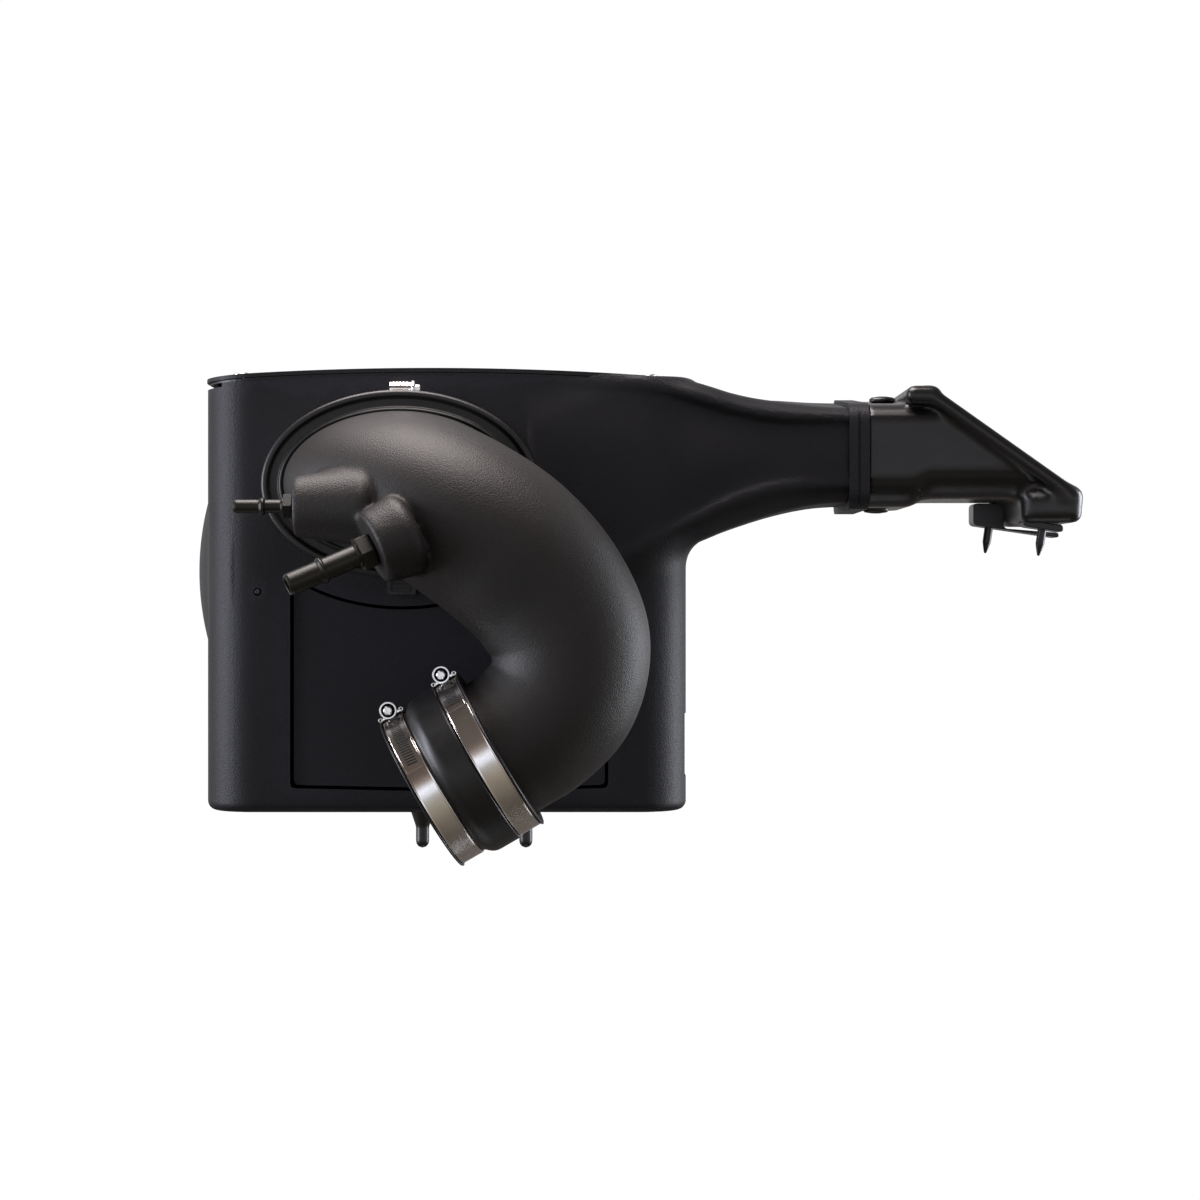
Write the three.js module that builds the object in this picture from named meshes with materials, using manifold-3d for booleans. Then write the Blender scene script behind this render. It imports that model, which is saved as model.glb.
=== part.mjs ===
// A closed-box cold air intake for a car engine: an air box with its lid, inlet duct and scoop,
// an oval panel-mounted filter, a U-bent intake tube and a stepped hose coupler with worm clamps.
// Millimetres, +Z up, +X towards the scoop, -Y towards the intake tube.
// The origin is the centre of the air box's flat base.
import * as THREE from "three";
import { mergeVertices } from "three/addons/utils/BufferGeometryUtils.js";
import Module from "manifold-3d";

const wasm = await Module();
wasm.setup();

// Driving dimensions
const GAP = 0.3; // clearance left between neighbouring pieces

const BOX = {
  width: 356,
  depth: 250,
  cornerRadius: 38,
  baseFillet: 7,
  wall: 3,
  frontWall: 6.5,
  floor: 3.5,
};
const BULGE = { radius: 83, height: 17, z: 178 };
const PANEL = { left: -113, right: 120, bottom: 18, top: 250, cornerRadius: 5, recess: 3.5 };
const PANEL_PAD = { halfWidth: 121, halfHeight: 88.6 };
const CROWN = { top: 326, x: -10, radius: 2266 };
const LID = { thickness: 3, rimGap: 2, screwHeadRadius: 6, screwHeadHeight: 2, screwRadius: 2.5 };
const GASKET = { inset: 2, width: 5, thickness: 1.4 };
const INSERT = { radius: 4, bore: 2.9, length: 12, bossRadius: 7, bossLength: 34 };
const LID_SCREWS = [
  [-150, -112],
  [150, -112],
  [-150, 115],
  [0, 116],
  [150, 115],
];
const RIVET = { x: -137, z: 162, radius: 2.75 };
const PEGS = [
  [-20, -60],
  [58, -60],
  [20, 85],
];
const PEG = {
  baseRadius: 11,
  radius: 5,
  taper: 15,
  length: 31,
  studRadius: 4,
  studLength: 9,
  pocketRadius: 11.6,
  pocketDepth: 0.8,
};

const RING = { x: -31, z: 240, halfWidth: 100, halfHeight: 68, lipDepth: 8, protrusion: 30 };
const RING_GROOVE = { halfWidth: 95, halfHeight: 63 };
const RING_SLEEVE = { halfWidth: 90.5, halfHeight: 59, back: -112 };
const NECK = { halfWidth: 83, halfHeight: 52 };
const FILTER = { pleats: 24, pleatDepth: 9, length: 176, endScale: 0.72, capThickness: 9 };

const TUBE = { wall: 3.2, endRadius: 50.8, sides: 24, steps: 18, planeY: -230 };
const HOSE_START = new THREE.Vector3(45.2, TUBE.planeY, 53.1);
const HOSE_DIRECTION = new THREE.Vector3(-0.866, 0, -0.501).normalize();
const TUBE_INSERTION = 20;
const COUPLER = { length: 64, lipRadius: 60.5, bandSeat: 58.3, outletLip: 57.8, outletSeat: 55.3 };
const COUPLER_BORE = { tubeEnd: 51.6, outlet: 48.3 };

const CLAMP = {
  bandWidth: 15.9,
  bandThickness: 0.7,
  tailWidth: 11.5,
  tailFrom: -0.84,
  tailTo: 0.44,
  screwHeight: 6.3,
  screwRadius: 3.8,
  housingLength: 16,
  housingWidth: 15.2,
  housingHeight: 12,
};

const DUCT_END = { x: 297.5, flangeTo: 312, nearY: -118, farY: 30 };
const SCOOP = { from: 312.6, nearY: -115, farY: 27, bottom: 225, topNear: 300, topFar: 312, wall: 3 };
const MOUTH = { x: 409.5, z: 277, slope: Math.atan2(70, 99), halfLength: 75, halfWidth: 78 };
const MOUTH_RIM = { thickness: 14, width: 11, cornerRadius: 26, bevel: 5.5 };
const FOOT_SLOPE = THREE.MathUtils.degToRad(8.3);
const FOOT_PIN = { radius: 3.3, taper: 8, tipRadius: 0.8 };

const SMALL_SPIGOT = { radius: 4.75, bore: 3, beadRadius: 6.15, hexRadius: 9.5, hexLength: 6 };
const LARGE_SPIGOT = { radius: 7.9, bore: 5.6, beadRadius: 9.6, hexRadius: 13, hexLength: 9 };

// Materials
const LOOKS = {
  grainedPlastic: { color: 0x1b1c20, roughness: 0.62, metalness: 0 },
  tubePlastic: { color: 0x2a2524, roughness: 0.68, metalness: 0 },
  smoothPlastic: { color: 0x17181b, roughness: 0.38, metalness: 0 },
  rubber: { color: 0x131314, roughness: 0.5, metalness: 0 },
  spigotPlastic: { color: 0x15160f, roughness: 0.28, metalness: 0 },
  stainless: { color: 0xc8cacc, roughness: 0.2, metalness: 1 },
  zincSteel: { color: 0xa8abad, roughness: 0.35, metalness: 1 },
  brass: { color: 0xb08d45, roughness: 0.35, metalness: 1 },
  filterCotton: { color: 0x2f4f7a, roughness: 0.9, metalness: 0 },
};

// Geometry and solid helpers

// A closed three.js geometry, moved by a matrix, as a manifold solid with its faces outward.
function solid(geometry, matrix = new THREE.Matrix4()) {
  const bare = geometry.index ? geometry.toNonIndexed() : geometry.clone();
  bare.deleteAttribute("normal");
  bare.deleteAttribute("uv");
  const merged = mergeVertices(bare.applyMatrix4(matrix), 1e-4);
  const index = merged.index.array;
  const corners = [];
  for (let i = 0; i < index.length; i += 3) {
    const [a, b, c] = [index[i], index[i + 1], index[i + 2]];
    if (a !== b && b !== c && c !== a) corners.push(a, b, c);
  }
  const build = (triVerts) =>
    new wasm.Manifold(
      new wasm.Mesh({
        numProp: 3,
        vertProperties: merged.attributes.position.array,
        triVerts: new Uint32Array(triVerts),
      }),
    );
  const made = build(corners);
  return made.volume() < 0 ? build(corners.reverse()) : made;
}

function toGeometry(manifold) {
  const mesh = manifold.getMesh();
  const geometry = new THREE.BufferGeometry();
  geometry.setAttribute("position", new THREE.BufferAttribute(mesh.vertProperties, 3));
  geometry.setIndex(new THREE.BufferAttribute(mesh.triVerts, 1));
  const faceted = geometry.toNonIndexed();
  faceted.computeVertexNormals();
  return faceted;
}

function piece(name, look, shape) {
  const geometry = shape.isBufferGeometry ? shape : toGeometry(shape);
  const mesh = new THREE.Mesh(geometry, new THREE.MeshStandardMaterial(LOOKS[look]));
  mesh.name = name;
  return mesh;
}

function moved(x, y, z) {
  return new THREE.Matrix4().makeTranslation(x, y, z);
}

// A frame at a place whose +Z looks along a direction and whose +Y stays near a second one.
function frameAlong(place, direction, sideways) {
  const z = direction.clone().normalize();
  const x = new THREE.Vector3().crossVectors(sideways, z).normalize();
  const y = new THREE.Vector3().crossVectors(z, x);
  return new THREE.Matrix4().makeBasis(x, y, z).setPosition(place);
}

// A closed skin through rings of points, each with the same number of points.
function loft(rings) {
  const count = rings[0].length;
  const last = (rings.length - 1) * count;
  const points = rings.flat();
  const centre = (ring) =>
    ring.reduce((sum, p) => sum.add(p), new THREE.Vector3()).divideScalar(ring.length);
  points.push(centre(rings[0]), centre(rings[rings.length - 1]));
  const faces = [];
  for (let j = 0; j < count; j++) {
    const next = (j + 1) % count;
    for (let row = 0; row < last; row += count) {
      faces.push(row + j, row + next, row + count + next);
      faces.push(row + j, row + count + next, row + count + j);
    }
    faces.push(points.length - 2, next, j);
    faces.push(points.length - 1, last + j, last + next);
  }
  const geometry = new THREE.BufferGeometry().setFromPoints(points);
  geometry.setIndex(faces);
  return geometry;
}

// A ring of points on the ellipse centre + cos t * a + sin t * b.
function ellipseRing(centre, a, b, sides) {
  return Array.from({ length: sides }, (_, i) => {
    const t = (2 * Math.PI * i) / sides;
    return centre.clone().addScaledVector(a, Math.cos(t)).addScaledVector(b, Math.sin(t));
  });
}

// A four-cornered ring in the plane of constant X, with its corners rounded.
function roundedQuadRing(x, corners, radius, perCorner = 4) {
  const points = corners.map(([y, z]) => new THREE.Vector2(y, z));
  return points.flatMap((corner, i) => {
    const before = points[(i + 3) % 4].clone().sub(corner).setLength(radius).add(corner);
    const after = points[(i + 1) % 4].clone().sub(corner).setLength(radius).add(corner);
    const curve = new THREE.QuadraticBezierCurve(before, corner, after);
    return curve.getPoints(perCorner - 1).map((p) => new THREE.Vector3(x, p.x, p.y));
  });
}

function roundedRectangle(left, bottom, right, top, radius) {
  const shape = new THREE.Shape();
  shape.absarc(right - radius, bottom + radius, radius, -Math.PI / 2, 0);
  shape.absarc(right - radius, top - radius, radius, 0, Math.PI / 2);
  shape.absarc(left + radius, top - radius, radius, Math.PI / 2, Math.PI);
  shape.absarc(left + radius, bottom + radius, radius, Math.PI, 1.5 * Math.PI);
  return shape;
}

function ellipseShape(halfWidth, halfHeight, x = 0, y = 0) {
  return new THREE.Shape().absellipse(x, y, halfWidth, halfHeight, 0, 2 * Math.PI);
}

function extruded(shape, depth, options = {}) {
  return new THREE.ExtrudeGeometry(shape, { depth, bevelEnabled: false, curveSegments: 16, ...options });
}

// A profile drawn in X and Z, pulled along Y between two places.
function pulledAlongY(shape, fromY, toY, options = {}) {
  const turn = new THREE.Matrix4().makeRotationX(Math.PI / 2);
  return solid(extruded(shape, toY - fromY, options), moved(0, toY, 0).multiply(turn));
}

function polygon(points) {
  return new THREE.Shape(points.map(([x, z]) => new THREE.Vector2(x, z)));
}

function turned(profile, segments = 20) {
  return new THREE.LatheGeometry(profile.map(([r, z]) => new THREE.Vector2(r, z)), segments);
}

// A lathe turned about the local Z axis, in a frame.
function turnedSolid(profile, matrix, segments = 24) {
  const upright = new THREE.Matrix4().makeRotationX(Math.PI / 2);
  return solid(turned(profile, segments), matrix.clone().multiply(upright));
}

function tubeProfile(outer, inner, from, to) {
  return [
    [inner, from],
    [outer, from],
    [outer, to],
    [inner, to],
    [inner, from],
  ];
}

// Air box and lid

// Height of the lid's crowned upper face over a place on X.
function crownHeight(x) {
  return CROWN.top - (x - CROWN.x) ** 2 / (2 * CROWN.radius);
}

// The layer that lies between two depths under the crowned face.
function crownedLayer(upper, lower) {
  const steps = 12;
  const reach = BOX.width / 2 + 20;
  const xs = Array.from({ length: steps + 1 }, (_, i) => -reach + (2 * reach * i) / steps);
  const above = xs.map((x) => [x, crownHeight(x) - upper]);
  const below = xs.map((x) => [x, crownHeight(x) - lower]).reverse();
  return pulledAlongY(polygon([...above, ...below]), -BOX.depth, BOX.depth);
}

function boxPrism(inset, fromZ, toZ) {
  const half = BOX.width / 2 - inset;
  const halfDepth = BOX.depth / 2 - inset;
  const outline = roundedRectangle(-half, -halfDepth, half, halfDepth, BOX.cornerRadius - inset);
  return solid(extruded(outline, toZ - fromZ, { curveSegments: 6 }), moved(0, 0, fromZ));
}

// The inlet duct, from inside the box's front right corner out to its flanged end.
function ductRings(inset) {
  const stations = [
    { x: 96, near: -124, far: 20, bottom: 150, topNear: 312, topFar: 312, radius: 40 },
    { x: 130, near: -126, far: 24, bottom: 172, topNear: 312.5, topFar: 312.5, radius: 38 },
    { x: 165, near: -127, far: 27, bottom: 189, topNear: 312.5, topFar: 312.8, radius: 34 },
    { x: 196, near: -125, far: 29, bottom: 203, topNear: 309.5, topFar: 313, radius: 28 },
    { x: 222, near: -123, far: 30, bottom: 213, topNear: 305, topFar: 313, radius: 22 },
    { x: 250, near: -120, far: 30, bottom: 221.5, topNear: 301, topFar: 313, radius: 17 },
    { x: 278, near: -118, far: 30, bottom: 227, topNear: 298, topFar: 311.5, radius: 14 },
    { x: DUCT_END.x + 2, near: -117, far: 29, bottom: 228.5, topNear: 297, topFar: 311, radius: 13 },
  ];
  if (inset) stations.push({ ...stations[stations.length - 1], x: DUCT_END.flangeTo + 5 });
  return stations.map((s) => {
    const corners = [
      [s.near + inset, s.bottom + inset],
      [s.far - inset, s.bottom + inset],
      [s.far - inset, s.topFar - inset],
      [s.near + inset, s.topNear - inset],
    ];
    return roundedQuadRing(s.x, corners, s.radius - inset);
  });
}

function ductFlange() {
  const corners = [
    [DUCT_END.nearY, 223],
    [DUCT_END.farY, 223],
    [DUCT_END.farY, 313.4],
    [DUCT_END.nearY, 300.6],
  ];
  const ring = (x, radius) => roundedQuadRing(x, corners, radius);
  return solid(loft([ring(DUCT_END.x, 14), ring(DUCT_END.flangeTo, 14)]));
}

// A shallow dome on the left wall, as a slice of a ball.
function sideBulge(inset) {
  const ball = (BULGE.radius ** 2 + BULGE.height ** 2) / (2 * BULGE.height) - inset;
  const steps = 7;
  const profile = [];
  const spread = Math.asin(BULGE.radius / (ball + inset));
  for (let i = 0; i <= steps; i++) {
    const angle = (spread * i) / steps;
    profile.push([ball * Math.sin(angle), ball * Math.cos(angle)]);
  }
  const foot = profile[steps][1] - 8;
  profile.push([profile[steps][0], foot], [0, foot]);
  const centreX = -BOX.width / 2 - BULGE.height + ball + inset;
  const place = new THREE.Vector3(centreX, 0, BULGE.z);
  const left = new THREE.Vector3(-1, 0, 0);
  return turnedSolid(profile, frameAlong(place, left, new THREE.Vector3(0, 1, 0)), 28);
}

function airBox() {
  const fillet = BOX.baseFillet;
  const half = BOX.width / 2;
  const outline = roundedRectangle(-half, -BOX.depth / 2, half, BOX.depth / 2, BOX.cornerRadius);
  const rounded = { bevelEnabled: true, bevelThickness: fillet, bevelSize: fillet };
  const block = extruded(outline, 340, {
    ...rounded,
    bevelOffset: -fillet,
    bevelSegments: 3,
    curveSegments: 6,
  });
  const innerHalf = half - BOX.wall;
  const front = -BOX.depth / 2 + BOX.frontWall;
  const back = BOX.depth / 2 - BOX.wall;
  const innerRadius = BOX.cornerRadius - BOX.wall;
  const hollow = roundedRectangle(-innerHalf, front, innerHalf, back, innerRadius);
  const cavity = solid(extruded(hollow, 400, { curveSegments: 6 }), moved(0, 0, BOX.floor));
  const rimDepth = LID.thickness + LID.rimGap;
  const belowRim = crownedLayer(rimDepth, 500);
  const shell = solid(block, moved(0, 0, fillet)).intersect(belowRim);

  let body = shell.add(sideBulge(0)).add(solid(loft(ductRings(0))));
  body = body.add(ductFlange()).subtract(cavity).subtract(sideBulge(BOX.wall));
  body = body.subtract(solid(loft(ductRings(BOX.wall))));

  const bosses = LID_SCREWS.map(([x, y]) => {
    const top = crownHeight(x) - rimDepth;
    const profile = [
      [0, top - INSERT.bossLength - 8],
      [INSERT.bossRadius, top - INSERT.bossLength],
      [INSERT.bossRadius, top + 5],
      [0, top + 5],
    ];
    return turnedSolid(profile, moved(x, y, 0), 16);
  });
  body = bosses.reduce((sum, boss) => sum.add(boss.intersect(belowRim)), body);
  const inserts = LID_SCREWS.map(([x, y]) => {
    const radius = INSERT.radius + GAP;
    const profile = [
      [0, crownHeight(x) - rimDepth - INSERT.length - 1],
      [radius, crownHeight(x) - rimDepth - INSERT.length - 1],
      [radius, 400],
      [0, 400],
    ];
    return turnedSolid(profile, moved(x, y, 0), 16);
  });
  body = inserts.reduce((rest, hole) => rest.subtract(hole), body);

  const sleeveHole = ellipseShape(
    RING_SLEEVE.halfWidth + 2 * GAP,
    RING_SLEEVE.halfHeight + 2 * GAP,
    RING.x,
    RING.z,
  );
  body = body.subtract(pulledAlongY(sleeveHole, -BOX.depth / 2 - 20, front + 5));

  const panel = pulledAlongY(
    roundedRectangle(PANEL.left, PANEL.bottom, PANEL.right, PANEL.top, PANEL.cornerRadius),
    -BOX.depth / 2 - 10,
    -BOX.depth / 2 + PANEL.recess,
    { curveSegments: 4 },
  );
  const pad = pulledAlongY(
    ellipseShape(PANEL_PAD.halfWidth, PANEL_PAD.halfHeight, RING.x, RING.z),
    -BOX.depth / 2 - 12,
    -BOX.depth / 2 + 8,
  );
  const ductSide = solid(loft(ductRings(-1)));
  body = body.subtract(panel.subtract(pad).subtract(ductSide));

  const studHoles = PEGS.map(([x, y]) =>
    turnedSolid(
      [
        [0, -5],
        [PEG.pocketRadius, -5],
        [PEG.pocketRadius, PEG.pocketDepth],
        [PEG.studRadius + GAP, PEG.pocketDepth],
        [PEG.studRadius + GAP, BOX.floor + 5],
        [0, BOX.floor + 5],
      ],
      moved(x, y, 0),
      16,
    ),
  );
  body = studHoles.reduce((rest, hole) => rest.subtract(hole), body);

  const rivetHole = ellipseShape(RIVET.radius, RIVET.radius, RIVET.x, RIVET.z);
  return body.subtract(pulledAlongY(rivetHole, -BOX.depth / 2 - 5, front + 5, { curveSegments: 6 }));
}

function lidPanel() {
  const plate = boxPrism(0, 290, 350).intersect(crownedLayer(0, LID.thickness));
  const holes = LID_SCREWS.map(([x, y]) =>
    turnedSolid(
      [
        [0, 290],
        [LID.screwRadius + 0.5, 290],
        [LID.screwRadius + 0.5, 350],
        [0, 350],
      ],
      moved(x, y, 0),
      16,
    ),
  );
  return holes.reduce((rest, hole) => rest.subtract(hole), plate);
}

function lidGasket() {
  const band = boxPrism(GASKET.inset, 290, 350).subtract(boxPrism(GASKET.inset + GASKET.width, 280, 360));
  const under = LID.thickness + GAP;
  let gasket = band.intersect(crownedLayer(under, under + GASKET.thickness));
  for (const [x, y] of LID_SCREWS) {
    const clear = [
      [0, 280],
      [INSERT.radius + 0.8, 280],
      [INSERT.radius + 0.8, 360],
      [0, 360],
    ];
    gasket = gasket.subtract(turnedSolid(clear, moved(x, y, 0), 16));
  }
  return gasket;
}

function lidScrew() {
  const head = LID.screwHeadRadius;
  const shaft = LID.screwRadius;
  return turned(
    [
      [0, -14],
      [shaft - 0.8, -14],
      [shaft, -12],
      [shaft, GAP],
      [head, GAP],
      [head - 0.3, LID.screwHeadHeight - 0.7],
      [head - 1.6, LID.screwHeadHeight],
      [0, LID.screwHeadHeight],
    ],
    12,
  ).rotateX(Math.PI / 2);
}

function threadedInsert() {
  return turned(tubeProfile(INSERT.radius, INSERT.bore, -INSERT.length, 0), 12).rotateX(Math.PI / 2);
}

function locatingPeg() {
  return turned(
    [
      [0, -PEG.length],
      [PEG.radius * 0.55, -PEG.length + 0.8],
      [PEG.radius * 0.9, -PEG.length + 2.6],
      [PEG.radius, -PEG.length + 5],
      [PEG.radius, -PEG.taper],
      [PEG.baseRadius - 2, -3],
      [PEG.baseRadius, PEG.pocketDepth - GAP],
      [PEG.studRadius, PEG.pocketDepth - GAP],
      [PEG.studRadius, PEG.studLength],
      [0, PEG.studLength],
    ],
    16,
  ).rotateX(Math.PI / 2);
}

function frontRivet() {
  const radius = RIVET.radius - GAP;
  return turned(
    [
      [0, 0],
      [radius - 0.6, 0],
      [radius, 1],
      [radius, BOX.frontWall + 2],
      [0, BOX.frontWall + 2],
    ],
    12,
  );
}

// Filter collar, filter and their clamp

function ovalRing(outer, bore, fromY, toY) {
  const shape = ellipseShape(outer.halfWidth, outer.halfHeight);
  shape.holes.push(ellipseShape(bore.halfWidth, bore.halfHeight));
  return pulledAlongY(shape, fromY, toY, { curveSegments: 16 });
}

function filterCollar() {
  const bore = { halfWidth: NECK.halfWidth + 1, halfHeight: NECK.halfHeight + 1 };
  const face = -BOX.depth / 2;
  const front = face - RING.protrusion;
  const lip = ovalRing(RING, bore, front, front + RING.lipDepth);
  const seat = ovalRing(RING_GROOVE, bore, front + 1, face - GAP);
  const foot = ovalRing(RING, bore, face - 4, face - GAP);
  const sleeve = ovalRing(RING_SLEEVE, bore, front + 1, RING_SLEEVE.back);
  const tabWidth = 21;
  const tabTop = -RING.halfHeight + 4;
  const tab = pulledAlongY(
    roundedRectangle(-tabWidth / 2, tabTop - 16, tabWidth / 2, tabTop, 2),
    face - 6,
    face - GAP,
    { curveSegments: 3 },
  );
  return lip.add(seat).add(foot).add(sleeve).add(tab);
}

function pleatedRing(scale, depth, y) {
  const count = FILTER.pleats * 4;
  return Array.from({ length: count }, (_, i) => {
    const t = (2 * Math.PI * i) / count;
    const fold = i % 4 < 2 ? 0 : depth;
    const halfWidth = (RING_SLEEVE.halfWidth - 3) * scale - fold;
    const halfHeight = (RING_SLEEVE.halfHeight - 3) * scale - fold;
    return new THREE.Vector3(halfWidth * Math.cos(t), y, halfHeight * Math.sin(t));
  });
}

function filterMedia() {
  const from = RING_SLEEVE.back + GAP;
  const to = from + FILTER.length;
  const outside = solid(loft([pleatedRing(1, 3, from), pleatedRing(FILTER.endScale, 3, to)]));
  const innerRing = (scale, y) =>
    ellipseRing(
      new THREE.Vector3(0, y, 0),
      new THREE.Vector3((RING_SLEEVE.halfWidth - 3) * scale - FILTER.pleatDepth, 0, 0),
      new THREE.Vector3(0, 0, (RING_SLEEVE.halfHeight - 3) * scale - FILTER.pleatDepth),
      32,
    );
  const slope = (1 - FILTER.endScale) / FILTER.length;
  const core = loft([innerRing(1 + slope, from - 1), innerRing(FILTER.endScale - slope, to + 1)]);
  return outside.subtract(solid(core));
}

function filterEndCap() {
  const from = RING_SLEEVE.back + FILTER.length + 2 * GAP;
  const cap = ellipseShape(
    RING_SLEEVE.halfWidth * FILTER.endScale,
    RING_SLEEVE.halfHeight * FILTER.endScale,
  );
  return pulledAlongY(cap, from, from + FILTER.capThickness, { curveSegments: 20 });
}

// Worm clamps. In a clamp's own frame +X runs outward from the hose axis to the screw,
// Y is the screw's axis with its head at -Y, and Z is the hose's axis.

function clampScrew() {
  const radius = CLAMP.screwRadius;
  const half = CLAMP.housingLength / 2;
  const shaft = solid(
    turned(
      [
        [0, half - 0.6],
        [radius - 1, half - 0.6],
        [radius, half - 1.6],
        [radius, -half],
        [radius + 1, -half - 0.4],
        [radius + 1, -half - 2],
        [0, -half - 2],
      ],
      18,
    ),
  );
  const head = new THREE.CylinderGeometry(4.9, 4.9, 5, 6);
  const slot = new THREE.BoxGeometry(1.3, 2, 12);
  return shaft
    .add(solid(head, moved(0, -half - 4, 0)))
    .subtract(solid(slot, moved(0, -half - 6.5, 0)));
}

function clampHousing(seat) {
  const base = seat + CLAMP.bandThickness + GAP;
  const top = seat + CLAMP.housingHeight;
  const length = CLAMP.housingLength;
  const shape = new THREE.Shape();
  const half = CLAMP.housingWidth / 2;
  shape.moveTo(base, -half);
  shape.lineTo(base, half);
  shape.lineTo(base + 3, half);
  shape.absarc(top - half + 1, 0, half - 1, Math.PI / 2, -Math.PI / 2, true);
  shape.lineTo(base + 3, -half);
  const sideways = new THREE.Matrix4().makeRotationX(Math.PI / 2);
  const block = solid(extruded(shape, length, { curveSegments: 8 }), moved(0, length / 2, 0).multiply(sideways));
  const channel = new THREE.BoxGeometry(4, length + 2, CLAMP.tailWidth + 0.8);
  const channelTop = seat + 2 * CLAMP.bandThickness + 2 * GAP + 0.5;
  const bore = new THREE.CylinderGeometry(CLAMP.screwRadius + GAP, CLAMP.screwRadius + GAP, length + 2, 18);
  return block
    .subtract(solid(channel, moved(channelTop - 2, 0, 0)))
    .subtract(solid(bore, moved(seat + CLAMP.screwHeight, 0, 0)));
}

// The slotted end of the band, lying on the band under the screw, bent to a radius.
function clampTail(bend, reach) {
  const inner = bend + CLAMP.bandThickness + GAP;
  const outer = inner + CLAMP.bandThickness;
  const shape = new THREE.Shape();
  shape.absarc(0, 0, outer, CLAMP.tailFrom * reach, CLAMP.tailTo * reach);
  shape.absarc(0, 0, inner, CLAMP.tailTo * reach, CLAMP.tailFrom * reach, true);
  const width = CLAMP.tailWidth;
  return extruded(shape, width, { curveSegments: 10 }).translate(0, 0, -width / 2);
}

function clampBand(halfWidth, halfHeight) {
  const shape = ellipseShape(halfWidth + CLAMP.bandThickness, halfHeight + CLAMP.bandThickness);
  shape.holes.push(ellipseShape(halfWidth, halfHeight));
  return extruded(shape, CLAMP.bandWidth, { curveSegments: 18 }).translate(0, 0, -CLAMP.bandWidth / 2);
}

// The bend is the hose's own radius of curvature under the screw.
function wormClamp(name, { seat, halfHeight = seat, bend = seat }) {
  const clamp = new THREE.Group();
  clamp.add(piece(name + "_band", "stainless", clampBand(seat, halfHeight)));
  const tail = piece(name + "_tail", "stainless", clampTail(bend, seat / bend));
  tail.position.x = seat - bend;
  clamp.add(tail);
  clamp.add(piece(name + "_housing", "stainless", clampHousing(seat)));
  const screw = piece(name + "_screw", "zincSteel", clampScrew());
  screw.position.x = seat + CLAMP.screwHeight;
  clamp.add(screw);
  return clamp;
}

// Intake tube and its fittings

// Sections of the tube: its centre, the way it runs, how far its first axis has turned from
// X (0) to Y (1), and its two half widths.
function tubeStations() {
  const hoseEnd = HOSE_START.clone().addScaledVector(HOSE_DIRECTION, TUBE_INSERTION);
  const beforeHose = HOSE_START.clone().addScaledVector(HOSE_DIRECTION, -8);
  return [
    { at: [RING.x, -116, RING.z], turn: 0, a: NECK.halfWidth, b: NECK.halfHeight },
    { at: [RING.x, -136, RING.z], turn: 0, a: NECK.halfWidth, b: NECK.halfHeight },
    { at: [RING.x, -156, RING.z], turn: 0, a: NECK.halfWidth, b: NECK.halfHeight },
    { at: [-26, -181, 237.5], turn: 0.24, a: 78, b: 53 },
    { at: [-9, -204, 229.5], turn: 0.52, a: 68, b: 56 },
    { at: [18, -222, 213], turn: 0.76, a: 59, b: 59 },
    { at: [50, -230, 190], turn: 0.94, a: 53, b: 59.5 },
    { at: [78, -231, 160], turn: 1, a: 50, b: 57.5 },
    { at: [93, -230.5, 126], turn: 1, a: 49.5, b: 56 },
    { at: [88, -230, 92], turn: 1, a: 49.8, b: 54 },
    { at: [70, -230, 69.5], turn: 1, a: 50.4, b: 52 },
    { at: beforeHose.toArray(), turn: 1, a: TUBE.endRadius, b: TUBE.endRadius },
    { at: hoseEnd.toArray(), turn: 1, a: TUBE.endRadius, b: TUBE.endRadius },
  ];
}

function tubeRings(inset, overrun) {
  const { steps } = TUBE;
  const stations = tubeStations();
  const path = new THREE.CatmullRomCurve3(stations.map((s) => new THREE.Vector3(...s.at)));
  const last = stations.length - 1;
  const blend = (key, t) => {
    const values = new THREE.CatmullRomCurve3(stations.map((s) => new THREE.Vector3(s[key], 0, 0)));
    return values.getPoint(t).x;
  };
  return Array.from({ length: steps + 1 }, (_, i) => {
    const t = i / steps;
    const centre = path.getPoint(t);
    const run = path.getTangent(t);
    if (t === 0) run.set(0, -1, 0);
    if (t * last > last - 1) run.copy(HOSE_DIRECTION);
    const turn = THREE.MathUtils.clamp(blend("turn", t), 0, 1) * (Math.PI / 2);
    const across = new THREE.Vector3(Math.cos(turn), Math.sin(turn), 0);
    across.addScaledVector(run, -across.dot(run)).normalize();
    const up = new THREE.Vector3().crossVectors(across, run);
    if (i === 0) centre.addScaledVector(run, -overrun);
    if (i === steps) centre.addScaledVector(run, overrun);
    across.multiplyScalar(blend("a", t) - inset);
    up.multiplyScalar(blend("b", t) - inset);
    return ellipseRing(centre, across, up, TUBE.sides);
  });
}

const SMALL_BOSS = {
  face: new THREE.Vector3(-97.2, -240, 220.8),
  direction: new THREE.Vector3(-1, 0, 0),
  length: 56,
  faceRadius: 20.8,
  baseRadius: 29.5,
};
const LARGE_BOSS = {
  face: new THREE.Vector3(-40.7, -272, 190.8),
  direction: new THREE.Vector3(-0.882, -0.259, -0.393).normalize(),
  length: 31,
  faceRadius: 25.2,
  baseRadius: 30.5,
};
const UP = new THREE.Vector3(0, 0, 1);

function bossFrame(boss) {
  return frameAlong(boss.face, boss.direction, UP);
}

function bossSolid(boss) {
  const chamfer = 2;
  const profile = [
    [0, -boss.length],
    [boss.baseRadius, -boss.length],
    [boss.faceRadius + 0.6, -chamfer],
    [boss.faceRadius - chamfer, 0],
    [0, 0],
  ];
  return turnedSolid(profile, bossFrame(boss), 28);
}

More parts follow.
